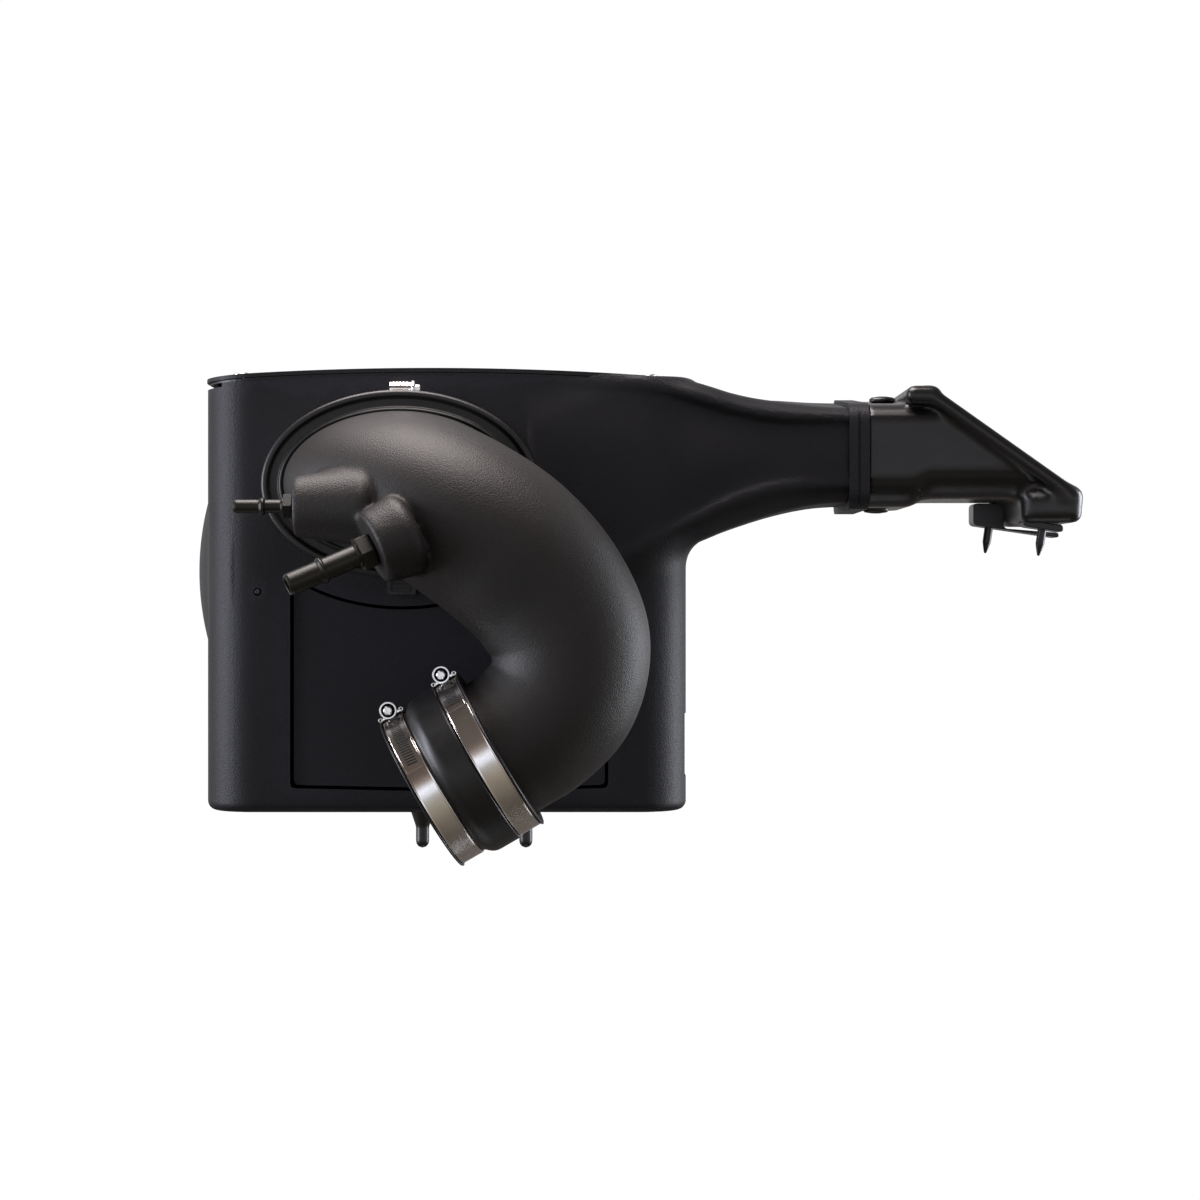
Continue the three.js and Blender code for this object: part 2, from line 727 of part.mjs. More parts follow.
function bossBore(boss, radius) {
  const profile = [
    [0, -boss.length - 12],
    [radius, -boss.length - 12],
    [radius, 5],
    [0, 5],
  ];
  return turnedSolid(profile, bossFrame(boss), 18);
}

function intakeTube() {
  const skin = solid(loft(tubeRings(0, 0)));
  const air = solid(loft(tubeRings(TUBE.wall, 5)));
  return skin
    .add(bossSolid(SMALL_BOSS))
    .add(bossSolid(LARGE_BOSS))
    .subtract(air)
    .subtract(bossBore(SMALL_BOSS, SMALL_SPIGOT.radius + 1.2))
    .subtract(bossBore(LARGE_BOSS, LARGE_SPIGOT.radius + 1.2));
}

// A push-on hose fitting that screws into a boss; its own +Z points out of the boss.
function spigot(size, length, beadAt) {
  const stub = size.radius + 0.9;
  const start = 1.6;
  const body = turnedSolid(
    [
      [size.bore, -11],
      [stub, -11],
      [stub, start],
      [size.radius, start],
      [size.radius, beadAt - 1.6],
      [size.beadRadius, beadAt - 0.6],
      [size.beadRadius, beadAt + 0.6],
      [size.radius, beadAt + 2.4],
      [size.radius, length - 1.2],
      [size.radius - 0.7, length],
      [size.bore, length],
      [size.bore, -11],
    ],
    new THREE.Matrix4(),
    20,
  );
  const hex = new THREE.CylinderGeometry(size.hexRadius, size.hexRadius, size.hexLength, 6);
  const upright = new THREE.Matrix4().makeRotationX(Math.PI / 2);
  const nut = solid(hex, moved(0, 0, start + size.hexLength / 2).multiply(upright));
  const air = turnedSolid(
    [
      [0, -20],
      [size.bore, -20],
      [size.bore, length + 5],
      [0, length + 5],
    ],
    new THREE.Matrix4(),
    20,
  );
  return body.add(nut.subtract(air));
}

function spigotSeal(size) {
  const thickness = 0.55;
  return new THREE.TorusGeometry(size.radius + 0.9 + thickness + GAP, thickness, 6, 20);
}

function fitting(name, boss, size, length, beadAt) {
  const group = new THREE.Group();
  group.applyMatrix4(bossFrame(boss));
  group.add(piece(name, "spigotPlastic", spigot(size, length, beadAt)));
  const seal = piece(name + "_seal", "rubber", spigotSeal(size));
  seal.position.z = 0.8;
  group.add(seal);
  return group;
}

// Coupler: a stepped silicone sleeve, from the tube's end (local z 0) to the engine's inlet.
function humpCoupler() {
  const { length, lipRadius, bandSeat, outletLip, outletSeat } = COUPLER;
  return turned(
    [
      [COUPLER_BORE.tubeEnd, 0],
      [lipRadius - 0.8, 0],
      [lipRadius, 0.7],
      [lipRadius - 0.4, 1.6],
      [bandSeat, 1.9],
      [bandSeat, 18.4],
      [lipRadius - 0.5, 18.9],
      [lipRadius, 20],
      [lipRadius, 36],
      [lipRadius - 0.8, 39.5],
      [lipRadius - 3, 42.5],
      [outletSeat + 0.2, 44.5],
      [outletSeat, 46],
      [outletSeat, length - 1.7],
      [outletLip - 0.3, length - 1.4],
      [outletLip, length - 0.7],
      [outletLip - 0.8, length],
      [COUPLER_BORE.outlet, length],
      [COUPLER_BORE.outlet, 30],
      [COUPLER_BORE.tubeEnd, 24],
      [COUPLER_BORE.tubeEnd, 0],
    ],
    32,
  ).rotateX(Math.PI / 2);
}

// Scoop

function scoopRings(inset, from, to) {
  const stations = [
    { x: from, bottom: SCOOP.bottom },
    { x: 346, bottom: SCOOP.bottom },
    { x: 354, bottom: SCOOP.bottom + 6 },
    { x: to, bottom: SCOOP.bottom + 6 },
  ];
  return stations.map((s) => {
    const corners = [
      [SCOOP.nearY + inset, s.bottom + inset],
      [SCOOP.farY - inset, s.bottom + inset],
      [SCOOP.farY - inset, SCOOP.topFar - inset],
      [SCOOP.nearY + inset, SCOOP.topNear - inset],
    ];
    return roundedQuadRing(s.x, corners, 12 - inset);
  });
}

// The mouth's own frame: +X down its slope, Y across it, +Z out of it.
function mouthFrame() {
  const place = new THREE.Vector3(MOUTH.x, (SCOOP.nearY + SCOOP.farY) / 2, MOUTH.z);
  return new THREE.Matrix4().makeRotationY(MOUTH.slope).setPosition(place);
}

function scoopShell() {
  const rimShape = roundedRectangle(
    -MOUTH.halfLength,
    -MOUTH.halfWidth,
    MOUTH.halfLength,
    MOUTH.halfWidth,
    MOUTH_RIM.cornerRadius,
  );
  const { bevel } = MOUTH_RIM;
  const rim = extruded(rimShape, MOUTH_RIM.thickness - 2 * bevel, {
    bevelEnabled: true,
    bevelThickness: bevel,
    bevelSize: bevel,
    bevelOffset: -bevel,
    bevelSegments: 3,
    curveSegments: 5,
  });
  const throat = roundedRectangle(
    -MOUTH.halfLength + MOUTH_RIM.width,
    -MOUTH.halfWidth + MOUTH_RIM.width,
    MOUTH.halfLength - MOUTH_RIM.width,
    MOUTH.halfWidth - MOUTH_RIM.width,
    MOUTH_RIM.cornerRadius - MOUTH_RIM.width,
  );
  const frame = mouthFrame();
  const above = solid(new THREE.BoxGeometry(400, 400, 200), frame.clone().multiply(moved(0, 0, 100)));
  const body = solid(loft(scoopRings(0, SCOOP.from, 456))).subtract(above);
  const chin = pulledAlongY(
    polygon([
      [426.2, 236],
      [428.5, 222],
      [435, 216.8],
      [446, 213.4],
      [458, 212],
      [467, 214],
      [470.5, 218],
      [464, 228],
      [450, 238],
    ]),
    SCOOP.nearY - 2,
    SCOOP.farY + 2,
  );
  const brow = pulledAlongY(
    polygon([
      [330, 297],
      [337, 308],
      [344, 313.5],
      [352, 314],
      [372, 300],
      [376, 296],
    ]),
    SCOOP.nearY - 2,
    SCOOP.farY + 2,
  );
  const sleeve = solid(loft(scoopRings(7, DUCT_END.x + 4, SCOOP.from + 3)));
  const rimDown = frame.clone().multiply(moved(0, 0, bevel - MOUTH_RIM.thickness));
  const throatDown = frame.clone().multiply(moved(0, 0, -16));
  return body
    .add(solid(rim, rimDown))
    .add(chin)
    .add(brow)
    .add(sleeve)
    .subtract(solid(loft(scoopRings(SCOOP.wall, SCOOP.from + 4, 452))).subtract(above).subtract(chin))
    .subtract(solid(loft(scoopRings(9.5, DUCT_END.x, SCOOP.from + 6))))
    .subtract(solid(extruded(throat, 30, { curveSegments: 5 }), throatDown));
}

function scoopSeal() {
  const corners = (inset) => [
    [DUCT_END.nearY + inset, 223 + inset],
    [DUCT_END.farY - inset, 223 + inset],
    [DUCT_END.farY - inset, 313.4 - inset],
    [DUCT_END.nearY + inset, 300.6 - inset],
  ];
  const rings = (inset, from, to) =>
    [from, to].map((x) => roundedQuadRing(x, corners(inset), 14 - inset / 2));
  const outer = solid(loft(rings(2.5, DUCT_END.flangeTo + 0.1, SCOOP.from - 0.1)));
  return outer.subtract(solid(loft(rings(6.6, 300, 320))));
}

// Feet under the scoop's chin and the pins that plug into the grille panel

function footPin(length) {
  const { radius, taper, tipRadius } = FOOT_PIN;
  return turned(
    [
      [0, -length],
      [tipRadius, -length],
      [radius, -length + taper],
      [radius, 0],
      [0, 0],
    ],
    16,
  ).rotateX(Math.PI / 2);
}

const FEET = {
  far: {
    outline: [
      [402, 230.6],
      [425.5, 230.6],
      [425.5, 211.3],
      [468, 207.8],
      [468, 204.1],
      [425, 210.4],
      [402, 213.75],
    ],
    fromY: -14,
    toY: 14,
    pin: { x: 417, z: 220, length: 28 },
  },
  near: {
    outline: [
      [428, 217.8],
      [434, 216.2],
      [446, 212.8],
      [457, 211.6],
      [457, 206.2],
      [430, 210.15],
      [427, 212],
    ],
    fromY: -103,
    toY: -77,
    pin: { x: 443.5, z: 210.6, length: 22 },
  },
};

function footFrame({ pin, fromY, toY }) {
  const place = new THREE.Vector3(pin.x, (fromY + toY) / 2, pin.z);
  return new THREE.Matrix4().makeRotationY(FOOT_SLOPE).setPosition(place);
}

function scoopFoot(foot) {
  const block = pulledAlongY(polygon(foot.outline), foot.fromY, foot.toY);
  const radius = FOOT_PIN.radius + GAP;
  const hole = [
    [0, -40],
    [radius, -40],
    [radius, GAP],
    [0, GAP],
  ];
  return block.subtract(turnedSolid(hole, footFrame(foot), 16));
}

// The assembly

const intake = new THREE.Group();

intake.add(piece("air_box", "grainedPlastic", airBox()));
intake.add(piece("lid_panel", "grainedPlastic", lidPanel()));
intake.add(piece("lid_gasket", "rubber", lidGasket()));

LID_SCREWS.forEach(([x, y], i) => {
  const screw = piece(`lid_screw_${i + 1}`, "zincSteel", lidScrew());
  screw.position.set(x, y, crownHeight(x) + GAP);
  intake.add(screw);
  const insert = piece(`threaded_insert_${i + 1}`, "brass", threadedInsert());
  insert.position.set(x, y, crownHeight(x) - LID.thickness - LID.rimGap);
  intake.add(insert);
});

PEGS.forEach(([x, y], i) => {
  const peg = piece(`locating_peg_${i + 1}`, "smoothPlastic", locatingPeg());
  peg.position.set(x, y, 0);
  intake.add(peg);
});

const rivet = piece("front_rivet", "smoothPlastic", frontRivet());
rivet.position.set(RIVET.x, -BOX.depth / 2 - 0.5, RIVET.z);
intake.add(rivet);

const filter = new THREE.Group();
filter.position.set(RING.x, 0, RING.z);
filter.add(piece("filter_collar", "rubber", filterCollar()));
filter.add(piece("filter_media", "filterCotton", filterMedia()));
filter.add(piece("filter_end_cap", "rubber", filterEndCap()));
intake.add(filter);

const collarSeat = RING_GROOVE.halfHeight + GAP;
const collarClamp = wormClamp("collar_clamp", {
  seat: collarSeat,
  halfHeight: RING_GROOVE.halfWidth + GAP,
  bend: (RING_GROOVE.halfWidth + GAP) ** 2 / collarSeat,
});
const collarClampY = -BOX.depth / 2 - RING.protrusion + RING.lipDepth + CLAMP.bandWidth / 2 + GAP;
collarClamp.applyMatrix4(
  new THREE.Matrix4()
    .makeBasis(UP, new THREE.Vector3(-1, 0, 0), new THREE.Vector3(0, -1, 0))
    .setPosition(RING.x, collarClampY, RING.z),
);
intake.add(collarClamp);

intake.add(piece("intake_tube", "tubePlastic", intakeTube()));
intake.add(fitting("small_spigot", SMALL_BOSS, SMALL_SPIGOT, 42.5, 22));
intake.add(fitting("large_spigot", LARGE_BOSS, LARGE_SPIGOT, 64, 38));

const hose = new THREE.Group();
hose.applyMatrix4(frameAlong(HOSE_START, HOSE_DIRECTION, new THREE.Vector3(0, 1, 0)));
hose.add(piece("hump_coupler", "rubber", humpCoupler()));
const tubeClamp = wormClamp("tube_clamp", { seat: COUPLER.bandSeat + GAP });
tubeClamp.position.z = 10.1;
hose.add(tubeClamp);
const outletClamp = wormClamp("outlet_clamp", { seat: COUPLER.outletSeat + GAP });
outletClamp.position.z = 54.2;
hose.add(outletClamp);
intake.add(hose);

intake.add(piece("scoop", "smoothPlastic", scoopShell()));
intake.add(piece("scoop_seal", "rubber", scoopSeal()));
for (const [name, foot] of Object.entries(FEET)) {
  intake.add(piece(`scoop_foot_${name}`, "smoothPlastic", scoopFoot(foot)));
  const pin = piece(`scoop_pin_${name}`, "smoothPlastic", footPin(foot.pin.length));
  pin.applyMatrix4(footFrame(foot));
  intake.add(pin);
}

export default intake;
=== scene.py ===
import math

import bmesh
import bpy
import numpy as np
from mathutils import Matrix, Vector


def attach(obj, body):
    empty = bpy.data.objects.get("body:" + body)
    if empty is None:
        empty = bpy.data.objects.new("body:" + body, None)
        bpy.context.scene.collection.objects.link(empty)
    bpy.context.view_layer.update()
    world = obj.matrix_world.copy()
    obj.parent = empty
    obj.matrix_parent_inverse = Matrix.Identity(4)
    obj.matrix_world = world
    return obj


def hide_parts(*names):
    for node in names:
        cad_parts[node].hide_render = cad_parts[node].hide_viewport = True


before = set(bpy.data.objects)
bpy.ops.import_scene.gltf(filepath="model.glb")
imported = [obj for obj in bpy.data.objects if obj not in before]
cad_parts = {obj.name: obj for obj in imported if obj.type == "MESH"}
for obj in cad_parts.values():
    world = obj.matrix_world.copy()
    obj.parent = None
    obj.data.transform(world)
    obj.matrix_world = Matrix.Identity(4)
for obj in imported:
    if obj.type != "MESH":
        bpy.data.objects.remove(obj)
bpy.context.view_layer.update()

MM = 0.001
TAU = 2 * math.pi

# ---------------------------------------------------------------- driving dimensions, mm
BOX_HALF_WIDTH, BOX_HALF_DEPTH, BOX_CORNER, BASE_FILLET = 178, 125, 38, 7
WALL, FRONT_WALL, FLOOR = 3, 6.5, 3.5
BULGE_RADIUS, BULGE_HEIGHT, BULGE_Z = 83, 17, 178
CROWN_TOP, CROWN_X, CROWN_RADIUS = 326, -10, 2266
LID_THICKNESS, RIM_GAP = 3, 2
LID_SCREWS = [(-150, -112), (150, -112), (-150, 115), (0, 116), (150, 115)]
PEGS = [(-20, -60), (58, -60), (20, 85)]
RING_X, RING_Z, RING_A, RING_B = -31, 240, 100, 68
NECK_A, NECK_B = 83, 52
PAD_A, PAD_B = 121, 88.6
COLLAR_HOLE_A, COLLAR_HOLE_B = 91, 59.5
PLUG_X, PLUG_Z, PLUG_HOLE = -137, 162, 2.9
PANEL_LEFT, PANEL_RIGHT, PANEL_BOTTOM = -113, 120, 18
PANEL_DEPTH, PANEL_GROOVE_DEPTH, PANEL_GROOVE_WIDTH = 3.5, 6.5, 2.4
LID_OVERHANG, LID_CLEARANCE, TAB_GAP = 0.6, 0.9, 3
TUBE_WALL, TUBE_END = 3.2, 50.8
HOSE_START = np.array([45.2, -230, 53.1])
HOSE_RUN = np.array([-0.866, 0, -0.501]) / np.linalg.norm([-0.866, 0, -0.501])
BAND_WIDTH, SCREW_HEIGHT = 15.9, 6.3
TUBE_CLAMP_SEAT, OUTLET_CLAMP_SEAT = 58.6, 55.6
TUBE_CLAMP_AT, OUTLET_CLAMP_AT = 10.1, 54.2
COLLAR_CLAMP_SEATS, COLLAR_CLAMP_Y = (63.3, 95.3), -138.75
DUCT_END, FLANGE_END, SCOOP_START = 297.5, 312, 312.6
DUCT_WALL = 6.5
SCOOP_NEAR, SCOOP_FAR, SCOOP_BOTTOM, SCOOP_TOP, SCOOP_TOP_RISE = -115, 27, 225, 300, 12
SCOOP_MIDDLE = (SCOOP_NEAR + SCOOP_FAR) / 2
MOUTH_X, MOUTH_Z, MOUTH_SLOPE = 409.5, 277, math.atan2(70, 99)


# ---------------------------------------------------------------- camera
def add_camera():
    data = bpy.data.cameras.new("camera")
    data.lens, data.sensor_width = 85, 36
    data.clip_end = 50
    camera = bpy.data.objects.new("camera", data)
    camera.location = (0.114, -2.2, 0.156)
    camera.rotation_euler = (math.pi / 2, 0, 0)
    bpy.context.collection.objects.link(camera)
    bpy.context.scene.camera = camera


add_camera()


# ---------------------------------------------------------------- materials
class Nodes:
    """A short way to build a node material around one Principled shader."""

    def __init__(self, name):
        self.material = bpy.data.materials.new(name)
        self.material.use_nodes = True
        self.tree = self.material.node_tree
        self.shader = self.tree.nodes["Principled BSDF"]
        self.place = self.add("ShaderNodeTexCoord").outputs["Object"]

    def add(self, kind, **settings):
        node = self.tree.nodes.new(kind)
        for key, value in settings.items():
            setattr(node, key, value)
        return node

    def link(self, a, b):
        self.tree.links.new(a, b)

    def set(self, **values):
        for key, value in values.items():
            self.shader.inputs[key.replace("_", " ")].default_value = value

    def noise(self, scale, detail=2.0, roughness=0.5, place=None):
        node = self.add("ShaderNodeTexNoise")
        node.inputs["Scale"].default_value = scale
        node.inputs["Detail"].default_value = detail
        node.inputs["Roughness"].default_value = roughness
        self.link(place or self.place, node.inputs["Vector"])
        return node.outputs["Fac"]

    def cells(self, scale, smooth=0.6):
        node = self.add("ShaderNodeTexVoronoi", feature="SMOOTH_F1")
        node.inputs["Scale"].default_value = scale
        node.inputs["Smoothness"].default_value = smooth
        self.link(self.place, node.inputs["Vector"])
        return node.outputs["Distance"]

    def stretched(self, scale):
        node = self.add("ShaderNodeMapping")
        node.inputs["Scale"].default_value = scale
        self.link(self.place, node.inputs["Vector"])
        return node.outputs["Vector"]

    def ranged(self, value, low, high, start=0.0, end=1.0):
        node = self.add("ShaderNodeMapRange")
        node.inputs["From Min"].default_value = start
        node.inputs["From Max"].default_value = end
        node.inputs["To Min"].default_value = low
        node.inputs["To Max"].default_value = high
        self.link(value, node.inputs["Value"])
        return node.outputs["Result"]

    def blend(self, factor, low, high):
        node = self.add("ShaderNodeMix", data_type="RGBA")
        self.link(factor, node.inputs[0])
        for index, colour in ((6, low), (7, high)):
            if isinstance(colour, tuple):
                node.inputs[index].default_value = (*colour, 1)
            else:
                self.link(colour, node.inputs[index])
        return node.outputs[2]

    def edges(self, low, high, start=0.5, end=0.6):
        geometry = self.add("ShaderNodeNewGeometry")
        return self.ranged(geometry.outputs["Pointiness"], low, high, start, end)

    def bump(self, height, distance, strength=1.0, below=None):
        node = self.add("ShaderNodeBump")
        node.inputs["Distance"].default_value = distance
        node.inputs["Strength"].default_value = strength
        self.link(height, node.inputs["Height"])
        if below:
            self.link(below, node.inputs["Normal"])
        return node.outputs["Normal"]


def grained_plastic(name, dark, light, rough, grain, depth, sheen_level):
    """Moulded plastic with a fine pebble grain, blotchy gloss and paler handled edges."""
    n = Nodes(name)
    blotches = n.ranged(n.noise(14, 3), 0, 1, 0.35, 0.7)
    base = n.blend(blotches, dark, light)
    worn = tuple(min(1, 2.2 * c) for c in light)
    n.link(n.blend(n.edges(0, 0.45, 0.52, 0.62), base, worn), n.shader.inputs["Base Color"])
    pebbles = n.cells(grain)
    fine = n.noise(grain * 2.3, 3, 0.6)
    n.link(n.ranged(fine, rough - 0.07, rough + 0.1, 0.3, 0.7), n.shader.inputs["Roughness"])
    soft = n.bump(n.noise(90, 2), 0.0004, 0.25)
    coarse = n.bump(pebbles, depth, 0.8, soft)
    n.link(n.bump(fine, depth * 0.5, 0.6, coarse), n.shader.inputs["Normal"])
    n.set(Specular_IOR_Level=sheen_level)
    return n.material


def satin_rubber(name, dark, light, rough):
    """Smooth silicone rubber, with a faint flow texture and dusty edges."""
    n = Nodes(name)
    base = n.blend(n.ranged(n.noise(22, 4), 0, 1, 0.4, 0.7), dark, light)
    dusty = tuple(3 * c for c in light)
    n.link(n.blend(n.edges(0, 0.4, 0.53, 0.65), base, dusty), n.shader.inputs["Base Color"])
    n.link(n.ranged(n.noise(160, 3), rough - 0.06, rough + 0.08), n.shader.inputs["Roughness"])
    fine = n.bump(n.noise(1400, 2), 0.00003, 0.5)
    n.link(n.bump(n.noise(60, 2), 0.0005, 0.12, fine), n.shader.inputs["Normal"])
    n.set(Specular_IOR_Level=0.45)
    return n.material


def glossy_plastic(name, dark, light, rough, shine):
    """Smooth moulded plastic with slight ripples and hairline scuffs."""
    n = Nodes(name)
    base = n.blend(n.ranged(n.noise(30, 3), 0, 1, 0.4, 0.7), dark, light)
    dusty = tuple(3 * c for c in light)
    n.link(n.blend(n.edges(0, 0.35, 0.53, 0.64), base, dusty), n.shader.inputs["Base Color"])
    scuffs = n.noise(300, 4, 0.6, n.stretched((1, 1, 6)))
    n.link(n.ranged(scuffs, rough - 0.04, rough + 0.12, 0.35, 0.75), n.shader.inputs["Roughness"])
    ripple = n.bump(n.noise(45, 2), 0.0006, 0.15)
    n.link(n.bump(n.noise(1100, 2), 0.00003, 0.5, ripple), n.shader.inputs["Normal"])
    n.set(Specular_IOR_Level=shine)
    return n.material


def metal(name, dark, light, rough, stretch, scratch=0.00002):
    """Polished or plated metal with fine lines along one way and faint tarnish."""
    n = Nodes(name)
    lines = n.noise(900, 4, 0.65, n.stretched(stretch))
    n.link(n.blend(n.ranged(n.noise(35, 3), 0, 1, 0.35, 0.75), light, dark), n.shader.inputs["Base Color"])
    n.link(n.ranged(lines, rough - 0.05, rough + 0.1, 0.3, 0.75), n.shader.inputs["Roughness"])
    n.link(n.bump(lines, scratch, 0.4), n.shader.inputs["Normal"])
    n.set(Metallic=1.0)
    return n.material


def woven_filter(name):
    """Oiled pleated cotton gauze, backed with fine wire mesh."""
    n = Nodes(name)
    weave = n.add("ShaderNodeTexBrick")
    weave.inputs["Scale"].default_value = 260
    n.link(n.place, weave.inputs["Vector"])
    blue = n.blend(n.noise(120, 3), (0.02, 0.07, 0.2), (0.06, 0.16, 0.36))
    n.link(blue, n.shader.inputs["Base Color"])
    n.link(n.bump(weave.outputs["Fac"], 0.0004, 0.8), n.shader.inputs["Normal"])
    n.link(n.ranged(n.noise(200), 0.7, 0.95), n.shader.inputs["Roughness"])
    return n.material


BOX_PLASTIC = grained_plastic(
    "box_plastic",
    dark=(0.003, 0.003, 0.005),
    light=(0.0046, 0.0047, 0.0074),
    rough=0.5,
    grain=1000,
    depth=0.00022,
    sheen_level=0.26,
)
TUBE_PLASTIC = grained_plastic(
    "tube_plastic",
    dark=(0.0065, 0.0053, 0.005),
    light=(0.0098, 0.008, 0.0074),
    rough=0.5,
    grain=1100,
    depth=0.00024,
    sheen_level=0.38,
)
SCOOP_PLASTIC = glossy_plastic(
    "smooth_plastic", dark=(0.0035, 0.0035, 0.0042), light=(0.0055, 0.0055, 0.0062), rough=0.32, shine=0.5
)
FITTING_PLASTIC = glossy_plastic(
    "fitting_plastic", dark=(0.006, 0.006, 0.004), light=(0.010, 0.0095, 0.006), rough=0.36, shine=0.3
)
RUBBER = satin_rubber("rubber", dark=(0.0045, 0.0045, 0.005), light=(0.007, 0.007, 0.0075), rough=0.4)
# Painted shade: a near-black satin put on the clamp tails' slot blocks and in the screw heads' recesses,
# where only shade would be.
SHADOW = satin_rubber("painted_recess_shade", dark=(0.002, 0.002, 0.002), light=(0.003, 0.003, 0.003), rough=0.9)
STAINLESS = metal(
    "stainless", dark=(0.74, 0.69, 0.64), light=(0.92, 0.91, 0.9), rough=0.16, stretch=(1, 12, 1)
)
SCREW_STEEL = metal(
    "zinc_steel", dark=(0.82, 0.82, 0.81), light=(0.95, 0.95, 0.94), rough=0.26, stretch=(4, 4, 1)
)
BRASS = metal("brass", dark=(0.45, 0.32, 0.12), light=(0.72, 0.55, 0.26), rough=0.3, stretch=(1, 1, 8))
FILTER_COTTON = woven_filter("filter_cotton")


# ---------------------------------------------------------------- mesh helpers
def new_mesh(name, verts, faces):
    """A mesh object in metres from corners in mm, its doubles merged and its faces outward."""
    mesh = bpy.data.meshes.new(name)
    mesh.from_pydata((np.asarray(verts, float) * MM).tolist(), [], faces)
    work = bmesh.new()
    work.from_mesh(mesh)
    bmesh.ops.remove_doubles(work, verts=work.verts, dist=2e-6)
    bmesh.ops.dissolve_degenerate(work, edges=work.edges, dist=1e-6)
    bmesh.ops.recalc_face_normals(work, faces=work.faces)
    work.to_mesh(mesh)
    work.free()
    thing = bpy.data.objects.new(name, mesh)
    bpy.context.collection.objects.link(thing)
    return thing


def bake(thing):
    """Applies the modifiers of a mesh object to its mesh."""
    graph = bpy.context.evaluated_depsgraph_get()
    mesh = bpy.data.meshes.new_from_object(thing.evaluated_get(graph))
    thing.modifiers.clear()
    old, thing.data = thing.data, mesh
    bpy.data.meshes.remove(old)
    return thing


def combine(thing, tools, operation="DIFFERENCE"):
    """Cuts, joins or intersects closed meshes with a closed mesh."""
    for tool in tools:
        boolean = thing.modifiers.new("boolean", "BOOLEAN")
        boolean.operation, boolean.solver, boolean.object = operation, "MANIFOLD", tool
        bake(thing)
        bpy.data.objects.remove(tool)
    return thing


def merge(name, things):
    """Puts several mesh objects into one, as separate shells."""
    work = bmesh.new()
    for thing in things:
        thing.data.transform(thing.matrix_world)
        work.from_mesh(thing.data)
        bpy.data.objects.remove(thing)
    mesh = bpy.data.meshes.new(name)
    work.to_mesh(mesh)
    work.free()
    whole = bpy.data.objects.new(name, mesh)
    bpy.context.collection.objects.link(whole)
    return whole


def bevel(thing, width, angle=35, segments=2):
    edge = thing.modifiers.new("bevel", "BEVEL")
    edge.width, edge.segments, edge.angle_limit = width * MM, segments, math.radians(angle)
    edge.limit_method, edge.use_clamp_overlap = "ANGLE", True
    return bake(thing)


def shade(thing, angle=32):
    """Smooth shading with sharp edges kept, and large faces deciding the normals round them."""
    thing.data.shade_smooth()
    thing.data.set_sharp_from_angle(angle=math.radians(angle))
    weigh = thing.modifiers.new("weigh", "WEIGHTED_NORMAL")
    weigh.mode, weigh.weight, weigh.keep_sharp = "FACE_AREA", 50, True
    return bake(thing)


def dress(thing, material, body, slot, *nodes, angle=32):
    """Gives a finished piece its material, body and the CAD nodes that it stands for; the slot argument is
    not used.
    """
    thing.data.materials.clear()
    thing.data.materials.append(material)
    shade(thing, angle)
    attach(thing, body)
    if nodes:
        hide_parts(*nodes)
    return thing


def soften(profile, radius, steps=3, closed=False):
    """Rounds the corners of a profile with small arcs, each cut back to fit its sides."""
    points = [np.array(p, float) for p in profile]
    count = len(points)
    out = []
    for i, corner in enumerate(points):
        if not closed and i in (0, count - 1):
            out.append(tuple(corner))
            continue
        before, after = points[i - 1] - corner, points[(i + 1) % count] - corner
        length = min(np.linalg.norm(before), np.linalg.norm(after))
        reach = min(radius, 0.45 * length)
        start = corner + before / np.linalg.norm(before) * reach
        end = corner + after / np.linalg.norm(after) * reach
        for s in np.linspace(0, 1, steps + 1):
            out.append(tuple((1 - s) ** 2 * start + 2 * s * (1 - s) * corner + s * s * end))
    return out


def turned(name, profile, segments=64, a=0.0, b=0.0, closed=True):
    """Sweeps a profile of (offset, height) round an ellipse of half widths a and b, about +Z."""
    angles = np.arange(segments) * TAU / segments
    verts = [
        ((a + r) * math.cos(t), (b + r) * math.sin(t), z) for t in angles for r, z in profile
    ]
    count = len(profile)
    last = count if closed else count - 1
    faces = []
    for i in range(segments):
        row, next_row = i * count, ((i + 1) % segments) * count
        for j in range(last):
            k = (j + 1) % count
            faces.append((row + j, next_row + j, next_row + k, row + k))
    return new_mesh(name, verts, faces)


def prism(name, outline, low, high):
    """An outline of (x, y) points pulled from one height to another, along +Z."""
    count = len(outline)
    verts = [(x, y, z) for z in (low, high) for x, y in outline]
    faces = [tuple(range(count)), tuple(range(count, 2 * count))]
    faces += [(i, (i + 1) % count, count + (i + 1) % count, count + i) for i in range(count)]
    return new_mesh(name, verts, faces)


def loft(name, rings):
    """A closed skin through rings of points."""
    count = len(rings[0])
    verts = [p for ring in rings for p in ring]
    faces = [tuple(range(count)), tuple(range((len(rings) - 1) * count, len(rings) * count))]
    for i in range(len(rings) - 1):
        for j in range(count):
            k = (j + 1) % count
            faces.append((i * count + j, i * count + k, (i + 1) * count + k, (i + 1) * count + j))
    return new_mesh(name, verts, faces)


def placed(thing, matrix):
    thing.data.transform(matrix)
    return thing


def axes(x, y, z, at):
    """A matrix whose columns are three axes, at a place in mm."""
    matrix = Matrix.Identity(4)
    for column, axis in enumerate((x, y, z)):
        for row in range(3):
            matrix[row][column] = axis[row]
    for row in range(3):
        matrix[row][3] = at[row] * MM
    return matrix


def rounded_rectangle(left, bottom, right, top, radius, steps=8):
    corners = [(right, bottom, -90), (right, top, 0), (left, top, 90), (left, bottom, 180)]
    outline = []
    for x, y, start in corners:
        centre_x = x - radius if x == right else x + radius
        centre_y = y - radius if y == top else y + radius
        for i in range(steps + 1):
            t = math.radians(start + 90 * i / steps)
            outline.append((centre_x + radius * math.cos(t), centre_y + radius * math.sin(t)))
    return outline


